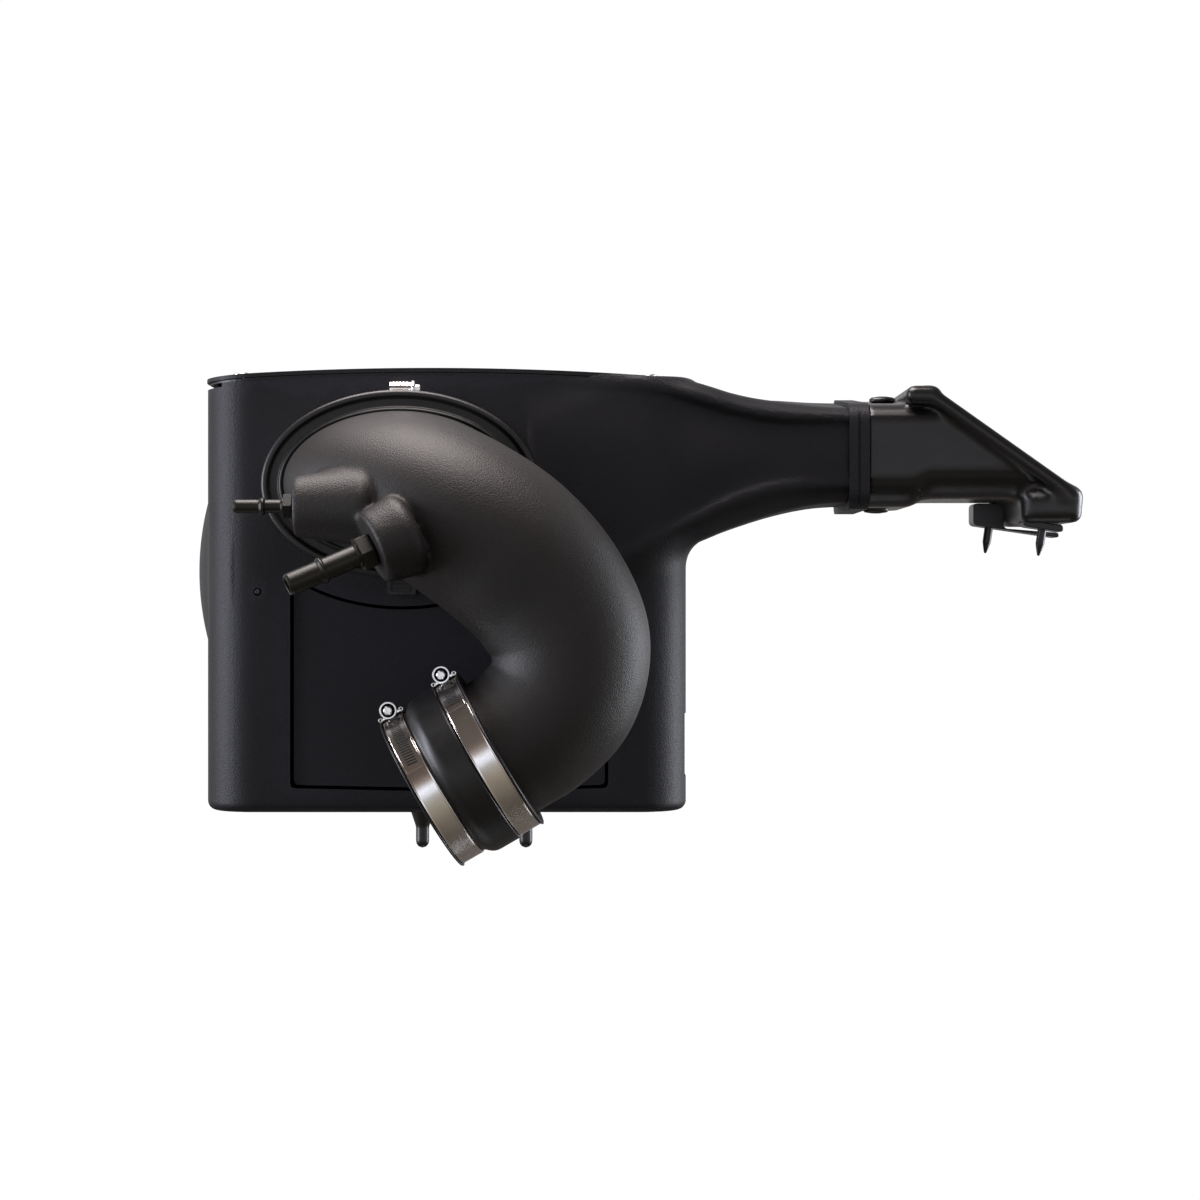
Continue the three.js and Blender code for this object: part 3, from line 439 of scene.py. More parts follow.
def ellipse(a, b, x=0.0, y=0.0, steps=96):
    return [(x + a * math.cos(TAU * i / steps), y + b * math.sin(TAU * i / steps)) for i in range(steps)]


def hexagon(radius):
    return ellipse(radius, radius, steps=6)


# ---------------------------------------------------------------- fields
# A field holds, for each point of a grid, how far it is outside a shape (negative inside).
def smooth_join(a, b, reach):
    h = np.clip(0.5 + 0.5 * (b - a) / reach, 0, 1)
    return b + (a - b) * h - reach * h * (1 - h)


def smooth_cut(a, tool, reach):
    return -smooth_join(-a, tool, reach)


def rounded_slab(qx, qy, radius):
    """Distance to a rounded rectangle, from the distances past its two pairs of sides."""
    qx, qy = qx + radius, qy + radius
    outside = np.hypot(np.maximum(qx, 0), np.maximum(qy, 0))
    return outside + np.minimum(np.maximum(qx, qy), 0) - radius


def grid_steps(*stretches):
    """Grid lines from (start, end, step) stretches that meet end to end."""
    lines = []
    for start, end, step in stretches:
        lines.append(np.linspace(start, end, max(2, round((end - start) / step) + 1))[:-1])
    return np.concatenate([*lines, [stretches[-1][1]]])


CELL_CORNERS = np.array([(i, j, k) for i in (0, 1) for j in (0, 1) for k in (0, 1)])
CELL_EDGES = [
    (a, b) for a in range(8) for b in range(a + 1, 8) if abs(CELL_CORNERS[a] - CELL_CORNERS[b]).sum() == 1
]


def surface_nets(name, field, xs, ys, zs):
    """A smooth closed mesh round where a field is negative, one corner for each crossed cell."""
    inside = field < 0
    shape = tuple(n - 1 for n in field.shape)
    count = np.zeros(shape, np.int8)
    for i, j, k in CELL_CORNERS:
        count += inside[i : i + shape[0], j : j + shape[1], k : k + shape[2]]
    cells = np.argwhere((count > 0) & (count < 8))
    corner = cells[:, None, :] + CELL_CORNERS[None]
    values = field[corner[..., 0], corner[..., 1], corner[..., 2]]
    places = np.stack([xs[corner[..., 0]], ys[corner[..., 1]], zs[corner[..., 2]]], axis=-1)
    total, crossings = np.zeros((len(cells), 3)), np.zeros((len(cells), 1))
    for a, b in CELL_EDGES:
        crossed = (values[:, a] < 0) != (values[:, b] < 0)
        t = np.where(crossed, values[:, a] / np.where(crossed, values[:, a] - values[:, b], 1), 0)[:, None]
        total += np.where(crossed[:, None], places[:, a] + t * (places[:, b] - places[:, a]), 0)
        crossings += crossed[:, None]
    verts = total / crossings
    index = np.full(shape, -1, np.int64)
    index[tuple(cells.T)] = np.arange(len(cells))
    faces = []
    for axis in range(3):
        u, v = [d for d in range(3) if d != axis]
        low = [slice(1, -1)] * 3
        low[axis] = slice(0, -1)
        high = list(low)
        high[axis] = slice(1, None)
        crossed = np.argwhere(inside[tuple(low)] != inside[tuple(high)])
        crossed[:, u] += 1
        crossed[:, v] += 1
        around = []
        for du, dv in ((-1, -1), (0, -1), (0, 0), (-1, 0)):
            cell = crossed.copy()
            cell[:, u] += du
            cell[:, v] += dv
            around.append(index[tuple(cell.T)])
        faces.append(np.stack(around, axis=1))
    return new_mesh(name, verts, np.concatenate(faces).tolist())


def thin_out(thing, share):
    """Removes faces where a mesh is nearly flat."""
    decimate = thing.modifiers.new("decimate", "DECIMATE")
    decimate.ratio = share
    return bake(thing)


# ---------------------------------------------------------------- air box
def crown(x):
    return CROWN_TOP - (x - CROWN_X) ** 2 / (2 * CROWN_RADIUS)


def rim_height(x):
    return crown(x) - LID_THICKNESS - RIM_GAP


# Stations of the inlet duct: x, near y, far y, bottom z, near top z, far top z, corner radius.
DUCT = np.array([
    (70, -123, 14, 128, 314, 314, 34),
    (96, -125, 18, 146, 318, 318, 24),
    (130, -127, 23, 169, 320.3, 320.3, 16),
    (150, -127.5, 25, 181, 320, 320, 14),
    (165, -127.3, 27, 189, 319, 319.2, 14),
    (180, -126.6, 28, 196.5, 317.4, 317.8, 14),
    (196, -125.5, 29, 203, 313, 315.5, 14),
    (208, -124.5, 29.5, 208, 309, 314, 14),
    (222, -123.3, 30, 213, 305.4, 313, 14),
    (250, -120.5, 30, 221.5, 301, 313, 14),
    (278, -118.3, 30, 227, 298, 311.5, 14),
    (300, -117, 29, 228.5, 297, 311, 14),
], float)


# Two valleys along the duct's near side, under its top roll and over its lower one:
# stations in X, their heights, the depth, and how far each spreads upward and downward.
CREASES = [
    ((60, 114, 161, 196, 230, 297), (312, 309, 304, 294, 286, 284), 4.6, 5, 24),
    ((135, 184, 212, 236, 297), (197, 222.6, 237, 244.6, 247), 2.6, 20, 5),
]
CREASE_FADE = 50
LOWER_ROLL, BORE_CORNER = 22, 20


def duct_at(x, inset=0.0):
    """The duct's section at x, with its corners pulled in by an inset."""
    x = np.clip(x, DUCT[0, 0], DUCT[-1, 0])
    near, far, bottom, top_near, top_far, radius = (
        smooth_lookup(x, DUCT[:, 0], DUCT[:, column]) for column in range(1, 7)
    )
    return near + inset, far - inset, bottom + inset, top_near - inset, top_far - inset, radius - inset


def smooth_lookup(x, xs, values):
    """A smooth curve through stations, with slopes taken from their neighbours."""
    slopes = np.gradient(values, xs)
    i = np.clip(np.searchsorted(xs, x, side="right") - 1, 0, len(xs) - 2)
    width = xs[i + 1] - xs[i]
    t = (x - xs[i]) / width
    h00, h10 = (1 + 2 * t) * (1 - t) ** 2, t * (1 - t) ** 2
    h01, h11 = t * t * (3 - 2 * t), t * t * (t - 1)
    return h00 * values[i] + h10 * width * slopes[i] + h01 * values[i + 1] + h11 * width * slopes[i + 1]


def duct_field(x, y, z):
    near, far, bottom, top_near, top_far, radius = duct_at(x)
    side = np.abs(y - (near + far) / 2) - (far - near) / 2
    top = top_near + (top_far - top_near) * (y - near) / (far - near)
    middle = (top + bottom) / 2
    height = np.abs(z - middle) - (top - bottom) / 2
    for stations, heights, depth, upward, downward in CREASES:
        along = np.clip(x, stations[0], stations[-1])
        level = smooth_lookup(along, np.array(stations, float), np.array(heights, float))
        valley = depth * np.exp(-(((z - level) / np.where(z > level, upward, downward)) ** 2))
        fade = np.clip((x - stations[0]) / CREASE_FADE + 0.5, 0, 1)
        side = side + np.where(y < (near + far) / 2, valley * fade, 0)
    body = rounded_slab(side, height, np.where(z > middle, radius, np.maximum(radius, LOWER_ROLL)))
    return np.maximum(body, np.maximum(x - 299, DUCT[0, 0] - x))


def duct_ring(x, inset, steps=6):
    near, far, bottom, top_near, top_far, radius = (float(v) for v in duct_at(np.float64(x), inset))
    corners = [(near, bottom), (far, bottom), (far, top_far), (near, top_near)]
    return [(x, y, z) for y, z in soften(corners, max(radius, BORE_CORNER), steps, closed=True)]


def box_field(x, y, z):
    plan = rounded_slab(np.abs(x) - BOX_HALF_WIDTH, np.abs(y) - BOX_HALF_DEPTH, BOX_CORNER)
    return rounded_slab(plan, -z, BASE_FILLET)


def air_box_skin():
    xs = grid_steps((-202, -150, 2.4), (-150, 60, 4.2), (60, 302, 2.3))
    ys = grid_steps((-132, -84, 2.0), (-84, 0, 3.4), (0, 40, 2.4), (40, 129, 3.6))
    zs = grid_steps((-3, 12, 1.5), (12, 150, 3.2), (150, 328, 2.3))
    x, y, z = xs[:, None, None], ys[None, :, None], zs[None, None, :]
    field = box_field(x, y, z)
    ball = (BULGE_RADIUS**2 + BULGE_HEIGHT**2) / (2 * BULGE_HEIGHT)
    centre = -BOX_HALF_WIDTH - BULGE_HEIGHT + ball
    dome = np.sqrt((x - centre) ** 2 + y**2 + (z - BULGE_Z) ** 2) - ball
    dome = np.maximum(dome, x + BOX_HALF_WIDTH - 20)
    field = smooth_join(field, dome, 3)
    field = smooth_join(field, duct_field(x, y, z), 16)
    field = np.maximum(field, z - crown(np.clip(x, -400, 150)))
    skin = surface_nets("air_box_look", field, xs, ys, zs)
    return thin_out(skin, 0.4)


def lid_outline(clearance):
    half_width, half_depth = BOX_HALF_WIDTH + clearance, BOX_HALF_DEPTH + clearance
    corner = BOX_CORNER + clearance
    return rounded_rectangle(-half_width, -half_depth, half_width, half_depth, corner, 10)


def crowned_block(name, lower, upper, reach=200):
    """A block between two depths under the crowned face, wider than the box."""
    xs = np.linspace(-reach, BOX_HALF_WIDTH + 1.2, 60)
    outline = [(x, crown(x) - upper) for x in xs] + [(x, crown(x) - lower) for x in xs[::-1]]
    return upright(prism(name, outline, -160, 160))


def upright(thing):
    """Turns a prism drawn in (x, z) and pulled along Z so that it runs along Y."""
    return placed(thing, Matrix.Rotation(math.pi / 2, 4, "X"))


def panel_outline(inset=0.0):
    """The sunk panel under the collar: straight sides, and a top that follows the collar's pad."""
    left, right, bottom = PANEL_LEFT + inset, PANEL_RIGHT - inset, PANEL_BOTTOM + inset
    sweep = []
    for x in np.linspace(left, 62, 40):
        reach = 1 - ((x - RING_X) / (PAD_A + inset)) ** 2
        sweep.append((x, RING_Z - (PAD_B + inset) * math.sqrt(reach)))
    base = [(left, bottom), ((left + right) / 2, bottom - 2.5), (right, bottom)]
    shoulder = [(right, 140 - inset), (94, 165 - inset)]
    return soften([*base, *shoulder, *sweep[::-1]], 4, 3, closed=True)


def flange_collars():
    """The duct's end flange, with a narrow groove round its middle."""
    outline = [(-118, 223), (30, 223), (30, 313.4), (-118, 300.6)]
    groove_depth, groove_half_width = 1.6, 0.8
    ring = soften(outline, 15, 6, closed=True)
    core = [(y + (groove_depth if y < 0 else -groove_depth), z) for y, z in outline]
    core = soften(core, 13, 6, closed=True)
    middle = (DUCT_END + FLANGE_END) / 2
    parts = [
        (core, DUCT_END, FLANGE_END - 1),
        (ring, DUCT_END, middle - groove_half_width),
        (ring, middle + groove_half_width, FLANGE_END),
    ]
    return [loft("flange", [[(x, y, z) for y, z in line] for x in span]) for line, *span in parts]


def front_prism(name, outline, low, high):
    """A prism through the front wall, between two distances in front of the box's middle."""
    return upright(prism(name, outline, low, high))


def hollow_tools():
    """What the box's inside takes away: its room, the duct's bore and the holes in the front."""
    inner = rounded_rectangle(
        -BOX_HALF_WIDTH + WALL, -BOX_HALF_DEPTH + FRONT_WALL, BOX_HALF_WIDTH - WALL, BOX_HALF_DEPTH - WALL, 35
    )
    cavity = prism("cavity", inner, FLOOR, 400)
    last_station = DUCT[-1, 0]
    bore_xs = [*np.linspace(72, last_station, 24), 330]
    bore_rings = [[(x, *p[1:]) for p in duct_ring(min(x, last_station), DUCT_WALL)] for x in bore_xs]
    bore = loft("bore", bore_rings)
    hole = front_prism("hole", ellipse(COLLAR_HOLE_A, COLLAR_HOLE_B, RING_X, RING_Z), 100, 160)
    plug_hole = front_prism("plug_hole", ellipse(PLUG_HOLE, PLUG_HOLE, PLUG_X, PLUG_Z, 20), 100, 160)
    return [cavity, bore, hole, plug_hole]


def lid_room_tools():
    """The lid's room over the rim, and the extra gap under the tab at the lid's near left corner."""
    above = crowned_block("above", -60, LID_THICKNESS + RIM_GAP)
    combine(above, [prism("lid_room", lid_outline(LID_CLEARANCE), 200, 500)], "INTERSECT")
    notch = crowned_block("notch", -60, LID_THICKNESS + RIM_GAP + TAB_GAP)
    corner = prism("corner", rounded_rectangle(-200, -140, -164, -30, 2, 2), 200, 500)
    combine(notch, [corner], "INTERSECT")
    return [above, notch]


def face_tools():
    """The sunk front panel with its bordering groove, and the shallow pocket in the right wall."""
    panel = front_prism("panel", panel_outline(), BOX_HALF_DEPTH - PANEL_DEPTH, BOX_HALF_DEPTH + 8)
    border = front_prism("border", panel_outline(), BOX_HALF_DEPTH - PANEL_GROOVE_DEPTH, BOX_HALF_DEPTH + 8)
    inside = panel_outline(PANEL_GROOVE_WIDTH)
    middle = front_prism("middle", inside, BOX_HALF_DEPTH - 9, BOX_HALF_DEPTH + 12)
    combine(border, [middle])
    pocket_outline = rounded_rectangle(BOX_HALF_WIDTH - 1.5, -112, 200, -58, 0.5, 5)
    pocket = prism("pocket", pocket_outline, 25, 72)
    bevel(pocket, 0.4, 40, 3)
    return [panel, border, pocket]


def screw_studs():
    """The bosses inside the rim that hold the lid's threaded inserts."""
    outer, bore, depth = 7, 4.3, 13
    studs = []
    for x, y in LID_SCREWS:
        top = rim_height(x)
        face = top - 0.2
        outside = [(0, top - 42), (outer, top - 34), (outer, face)]
        inside = [(bore, face), (bore, top - depth), (0, top - depth)]
        stud = turned("stud", outside + inside, 28, closed=False)
        studs.append(placed(stud, Matrix.Translation((x * MM, y * MM, 0))))
    return studs


def air_box():
    skin = air_box_skin()
    combine(skin, flange_collars(), "UNION")
    combine(skin, [*lid_room_tools(), *hollow_tools(), *face_tools()])
    combine(skin, screw_studs(), "UNION")
    bevel(skin, 0.8, 40, 2)
    dress(skin, BOX_PLASTIC, "intake", "box_plastic", "air_box", angle=25)


def lid():
    plate = prism("lid_look", lid_outline(LID_OVERHANG), 250, 400)
    rear = rounded_rectangle(-300, BOX_HALF_DEPTH, 300, BOX_HALF_DEPTH + 20, 1, 1)
    combine(plate, [prism("rear", rear, 200, 500)])
    combine(plate, [crowned_block("layer", LID_THICKNESS, 0)], "INTERSECT")
    bevel(plate, 0.9, 50, 3)
    dress(plate, BOX_PLASTIC, "lid", "box_plastic", "lid_panel", angle=50)


def lid_screws():
    head = [(0, 1.8), (4.4, 1.7), (5.8, 1.1), (6, 0)]
    shank = [(2.5, 0), (2.5, -12), (1.7, -14), (0, -14)]
    profile = soften([*head, *shank], 0.4, 2)
    for i, (x, y) in enumerate(LID_SCREWS, 1):
        screw = turned(f"lid_screw_look_{i}", profile, 32, closed=False)
        combine(screw, [prism("socket", hexagon(2.1), 0.4, 6)])
        placed(screw, Matrix.Translation((x * MM, y * MM, (crown(x) + 0.3) * MM)))
        dress(screw, SCREW_STEEL, "lid", "zinc_steel", f"lid_screw_{i}")


def pegs():
    tip = [(0, -31), (2.8, -30.2), (4.5, -28.2), (5, -26)]
    shoulder = [(5, -15), (9, -3), (11, -0.3)]
    stem = [(4, -0.3), (4, 9), (0, 9)]
    profile = soften([*tip, *shoulder, *stem], 1.6, 4)
    for i, (x, y) in enumerate(PEGS, 1):
        peg = turned(f"locating_peg_look_{i}", profile, 40, closed=False)
        placed(peg, Matrix.Translation((x * MM, y * MM, 0)))
        dress(peg, SCOOP_PLASTIC, "intake", "smooth_plastic", f"locating_peg_{i}")


def front_rivet():
    profile = soften([(0, 0.2), (1.6, 0), (2.4, 0.9), (2.4, 8), (0, 8)], 0.3)
    rivet = turned("front_rivet_look", profile, 28, closed=False)
    facing_back = axes((1, 0, 0), (0, 0, -1), (0, 1, 0), (PLUG_X, -BOX_HALF_DEPTH, PLUG_Z))
    dress(placed(rivet, facing_back), SCOOP_PLASTIC, "intake", "smooth_plastic", "front_rivet")


# ---------------------------------------------------------------- collar
def facing_viewer(x, y, z):
    """A frame whose +Z looks at the viewer (-Y), +X to the right and +Y up."""
    return axes((1, 0, 0), (0, 0, 1), (0, -1, 0), (x, y, z))


def alignment_tab():
    """A framed window under the collar with four ribs in it, and three dots on its sill."""
    tab = prism("tab", rounded_rectangle(-10.5, -80, 10.5, -64, 1.8, 4), 0.3, 5)
    window = rounded_rectangle(-7.8, -77.6, 7.8, -65.8, 1, 3)
    combine(tab, [prism("window", window, 2.2, 8)])
    rib_outlines = [rounded_rectangle(-6.4, z, 6.4, z + 1.5, 0.5, 2) for z in (-77, -74.2, -71.4, -68.6)]
    ribs = [prism("rib", outline, 2, 4) for outline in rib_outlines]
    dots = [prism("dot", ellipse(0.9, 0.9, x, -78.9, 14), 4.8, 5.5) for x in (-4, 0, 4)]
    combine(tab, ribs + dots, "UNION")
    bevel(tab, 0.35, 40, 2)
    return tab


def filter_collar():
    """The rubber collar: a front lip with a bead and a groove, a clamp seat and a foot."""
    face = 0.3
    lip = [
        (-16.5, 12), (-16.5, 28.5), (-15.2, 30), (-13.4, 30), (-12.4, 28.2), (-11.3, 27.6), (-6.5, 27.6),
        (-5.4, 28.4), (-4.4, 30), (-1.6, 30), (0, 28.4), (0, 23.4), (-1.2, 22.2), (-4.8, 22), (-5, 21.6),
        (-5, 5.2), (-4.6, 4.6), (-1.5, 4.4), (0, 3.4), (0, face), (-9.6, face), (-9.6, -12), (-16.5, -12),
    ]
    at_front = facing_viewer(RING_X, -BOX_HALF_DEPTH, RING_Z)
    collar = turned("filter_collar_look", soften(lip, 0.9, 2, closed=True), 160, RING_A, RING_B)
    placed(collar, at_front)
    whole = merge("filter_collar_look", [collar, placed(alignment_tab(), at_front)])
    dress(whole, RUBBER, "intake", "rubber", "filter_collar", angle=45)


# ---------------------------------------------------------------- intake tube
# Stations of the tube: centre x, y, z, turn of its first axis from X (0) to Y (1), half widths.
TUBE = np.array([
    (RING_X, -116, RING_Z, 0, NECK_A, NECK_B),
    (RING_X, -136, RING_Z, 0, NECK_A, NECK_B),
    (RING_X, -156, RING_Z, 0, NECK_A, NECK_B),
    (-26, -181, 237.5, 0.24, 78, 53),
    (-9, -204, 229.5, 0.52, 68, 56),
    (18, -222, 213, 0.76, 59, 59),
    (50, -230, 190, 0.94, 53, 59.5),
    (78, -231, 160, 1, 50, 57.5),
    (93, -230.5, 126, 1, 49.5, 56),
    (88, -230, 92, 1, 49.8, 54),
    (70, -230, 69.5, 1, 50.4, 52),
    (*(HOSE_START - 8 * HOSE_RUN), 1, TUBE_END, TUBE_END),
    (*(HOSE_START + 20 * HOSE_RUN), 1, TUBE_END, TUBE_END),
], float)


# The tube's two bosses: the middle of the outer face, the way it looks, and both ends' radii.
LARGE_BOSS_WAY = np.array([-0.882, -0.259, -0.393])
SMALL_BOSS = {
    "face": np.array([-97.2, -240, 220.8]),
    "way": np.array([-1, 0, 0.0]),
    "length": 56,
    "radii": (20.8, 29.5),
}
LARGE_BOSS = {
    "face": np.array([-40.7, -272, 190.8]),
    "way": LARGE_BOSS_WAY / np.linalg.norm(LARGE_BOSS_WAY),
    "length": 31,
    "radii": (25.2, 30.5),
}


def boss_field(boss, x, y, z):
    """A cone with a rounded end that narrows to its face."""
    dx, dy, dz = x - boss["face"][0], y - boss["face"][1], z - boss["face"][2]
    along = dx * boss["way"][0] + dy * boss["way"][1] + dz * boss["way"][2]
    radial = np.sqrt(np.maximum(dx * dx + dy * dy + dz * dz - along * along, 0))
    end, base = boss["radii"]
    radius = end + (base - end) * np.clip(-along / boss["length"], 0, 1)
    face_end = rounded_slab(radial - radius, along, 1.5)
    root_end = rounded_slab(radial - radius, -along - boss["length"], 11)
    return np.maximum(face_end, root_end)


def boss_frame(boss):
    z = Vector(boss["way"])
    x = Vector((0, 0, 1)).cross(z).normalized()
    return axes(x, z.cross(x), z, boss["face"])


def tube_path(rows):
    """Centres, runs, both axes and half widths of the tube at even steps along it."""
    gaps = np.linalg.norm(np.diff(TUBE[:, :3], axis=0), axis=1) ** 0.5
    knots = np.concatenate([[0], np.cumsum(gaps)])
    along = np.linspace(0, knots[-1], rows)
    values = np.stack([smooth_lookup(along, knots, TUBE[:, c]) for c in range(6)], axis=1)
    runs = np.gradient(values[:, :3], along, axis=0)
    runs[0], runs[-1] = (0, -1, 0), HOSE_RUN
    runs /= np.linalg.norm(runs, axis=1, keepdims=True)
    turn = np.clip(values[:, 3], 0, 1) * math.pi / 2
    across = np.stack([np.cos(turn), np.sin(turn), np.zeros(rows)], axis=1)
    across -= np.sum(across * runs, axis=1, keepdims=True) * runs
    across /= np.linalg.norm(across, axis=1, keepdims=True)
    return values[:, :3], runs, across, np.cross(across, runs), values[:, 4], values[:, 5]


def tube_rings(inset, overrun, rows, sides):
    """Rings of the tube's skin, or of its bore when there is an inset."""
    centres, runs, across, up, wide, high = tube_path(rows)
    centres = centres.copy()
    centres[0] -= runs[0] * overrun
    centres[-1] += runs[-1] * overrun
    t = np.arange(sides) * TAU / sides
    return [
        c + np.outer(np.cos(t) * (a - inset), u) + np.outer(np.sin(t) * (b - inset), v)
        for c, u, v, a, b in zip(centres, across, up, wide, high)
    ]


def tube_field(points):
    """About how far points are outside the tube, from the section that each one lies in."""
    rows, chunk_size, last_rows = 150, 40000, 30
    centres, runs, across, up, wide, high = tube_path(rows)
    nearest = np.empty(len(points), np.int64)
    for start in range(0, len(points), chunk_size):
        chunk = points[start : start + chunk_size]
        square = (chunk**2).sum(1)[:, None] - 2 * chunk @ centres.T + (centres**2).sum(1)
        nearest[start : start + chunk_size] = square.argmin(1)
    lead = np.sum((points - centres[nearest]) * runs[nearest], axis=1)
    other = np.clip(nearest + np.where(lead > 0, 1, -1), 0, len(centres) - 1)
    other_lead = np.sum((points - centres[other]) * runs[other], axis=1)
    share = np.where(other == nearest, 0, lead / np.where(lead == other_lead, 1, lead - other_lead))
    share = np.clip(share, 0, 1)[:, None]

    def between(values):
        return values[nearest] + share * (values[other] - values[nearest])

    offset = points - between(centres)
    u = np.sum(offset * between(across), axis=1)
    v = np.sum(offset * between(up), axis=1)
    a, b = between(wide[:, None])[:, 0], between(high[:, None])[:, 0]
    level = np.hypot(u / a, v / b)
    slope = np.hypot(u / a**2, v / b**2)
    distance = level * (level - 1) / np.maximum(slope, 1e-6)
    past_end = np.sum((points - centres[-1]) * runs[-1], axis=1)
    before_start = np.sum((centres[0] - points) * runs[0], axis=1)
    end_cap = np.where(nearest > rows - last_rows, past_end, -np.inf)
    return np.maximum(distance, np.maximum(end_cap, before_start))


def intake_tube():
    rings = np.concatenate(tube_rings(0, 0, 110, 72))
    lows, highs = rings.min(axis=0), rings.max(axis=0)
    bosses_left, bosses_front, margin, step = -106, -298, 6, 2.0
    lows = np.minimum(lows, (bosses_left, bosses_front, lows[2]))
    xs, ys, zs = (grid_steps((low - margin, high + margin, step)) for low, high in zip(lows, highs))
    grid = np.stack(np.meshgrid(xs, ys, zs, indexing="ij"), axis=-1)
    skin = tube_field(grid.reshape(-1, 3)).reshape(grid.shape[:3])
    bosses = [boss_field(boss, *np.moveaxis(grid, -1, 0)) for boss in (SMALL_BOSS, LARGE_BOSS)]
    skin = smooth_join(skin, smooth_join(bosses[0], bosses[1], 2.5), 3.5)
    tube = surface_nets("intake_tube_look", skin, xs, ys, zs)
    relax(tube, 1)
    air = loft("air", tube_rings(TUBE_WALL, 8, 60, 48))
    bores = []
    for boss, radius in ((SMALL_BOSS, 5.9), (LARGE_BOSS, 9.1)):
        bore = turned("bore", [(0, -34), (radius, -34), (radius, 8), (0, 8)], 32, closed=False)
        bores.append(placed(bore, boss_frame(boss)))
    combine(tube, [air, *bores])
    dress(tube, TUBE_PLASTIC, "intake", "tube_plastic", "intake_tube", angle=50)


def relax(thing, rounds, factor=0.5):
    smooth = thing.modifiers.new("relax", "SMOOTH")
    smooth.factor, smooth.iterations = factor, rounds
    return bake(thing)


# ---------------------------------------------------------------- fittings
def spigot(node, boss, radius, bore, bead, across, height, length, bead_at):
    """A push-on fitting: a hexagon, a plain pipe with a retaining bead and a tapered end."""
    name = f"{node}_look"
    start = 1.6
    profile = [
        (bore, -11), (radius + 0.9, -11), (radius + 0.9, start + height + 0.8), (radius, start + height + 2),
        (radius, bead_at - 1.8), (bead, bead_at - 0.7), (bead, bead_at + 0.7), (radius, bead_at + 2.6),
        (radius, length - 2), (radius - 0.9, length), (bore + 0.4, length), (bore, length - 0.6),
    ]
    pipe = turned(name, soften(profile, 0.5, 2, closed=True), 48)
    nut = prism("nut", hexagon(across), start, start + height)
    flat, corner = across * 0.93, across * 1.04
    cone = [
        (0, start - 1), (flat, start - 1), (corner, start + 1.6), (corner, start + height - 1.6),
        (flat, start + height + 1), (0, start + height + 1),
    ]
    combine(nut, [turned("cone", cone, 48, closed=False)], "INTERSECT")
    hole = [(0, -5), (radius + 0.7, -5), (radius + 0.7, 30), (0, 30)]
    combine(nut, [turned("hole", hole, 48, closed=False)])
    bevel(nut, 0.35, 30, 2)
    whole = merge(name, [pipe, nut])
    placed(whole, boss_frame(boss))
    dress(whole, FITTING_PLASTIC, "intake", "fitting_plastic", node, angle=35)


# ---------------------------------------------------------------- coupler and clamps
def hose_frame(along):
    """The coupler's frame: +Z along the hose, +X up and left towards the clamps' screws."""
    z = Vector(HOSE_RUN)
    y = Vector((0, 1, 0))
    return axes(y.cross(z), y, z, HOSE_START + along * HOSE_RUN)


def coupler():
    profile = [
        (51.2, 2.4), (53.2, 0), (59.6, 0), (60.5, 0.7), (60.2, 1.6), (58.5, 1.9), (58.3, 2.3), (58.3, 18.2),
        (58.6, 18.7), (60.1, 19), (60.5, 20), (60.5, 35), (60.2, 37.4), (59.2, 40), (57.4, 42.4), (56, 43.8),
        (55.4, 45), (55.3, 46), (55.3, 62.2), (55.6, 62.6), (57.5, 62.6), (57.8, 63.2), (57.3, 64), (49, 64),
        (48.4, 63.4), (48.4, 31), (49.2, 28), (50.6, 25), (51.2, 23.6),
    ]
    sleeve = turned("hump_coupler_look", soften(profile, 0.8, 2, closed=True), 160)
    placed(sleeve, hose_frame(0))
    dress(sleeve, RUBBER, "intake", "rubber", "hump_coupler", angle=60)


BLOCK_FACES = ((3, 2, 1, 0), (4, 5, 6, 7), (0, 1, 5, 4), (1, 2, 6, 5), (2, 3, 7, 6), (3, 0, 4, 7))


def clamp_band(name, seat_a, seat_b):
    """The band's plain loop, with rolled edges."""
    half = BAND_WIDTH / 2
    rolled = [(0.35, half), (0.9, half - 0.1), (0.98, half - 0.6), (0.8, half - 1.1)]
    mirrored = [(r, -z) for r, z in rolled[::-1]]
    profile = [(0, -half + 0.3), (0, half - 0.3), *rolled, *mirrored]
    return turned(name, soften(profile, 0.25, 2, closed=True), 192, seat_a, seat_b)


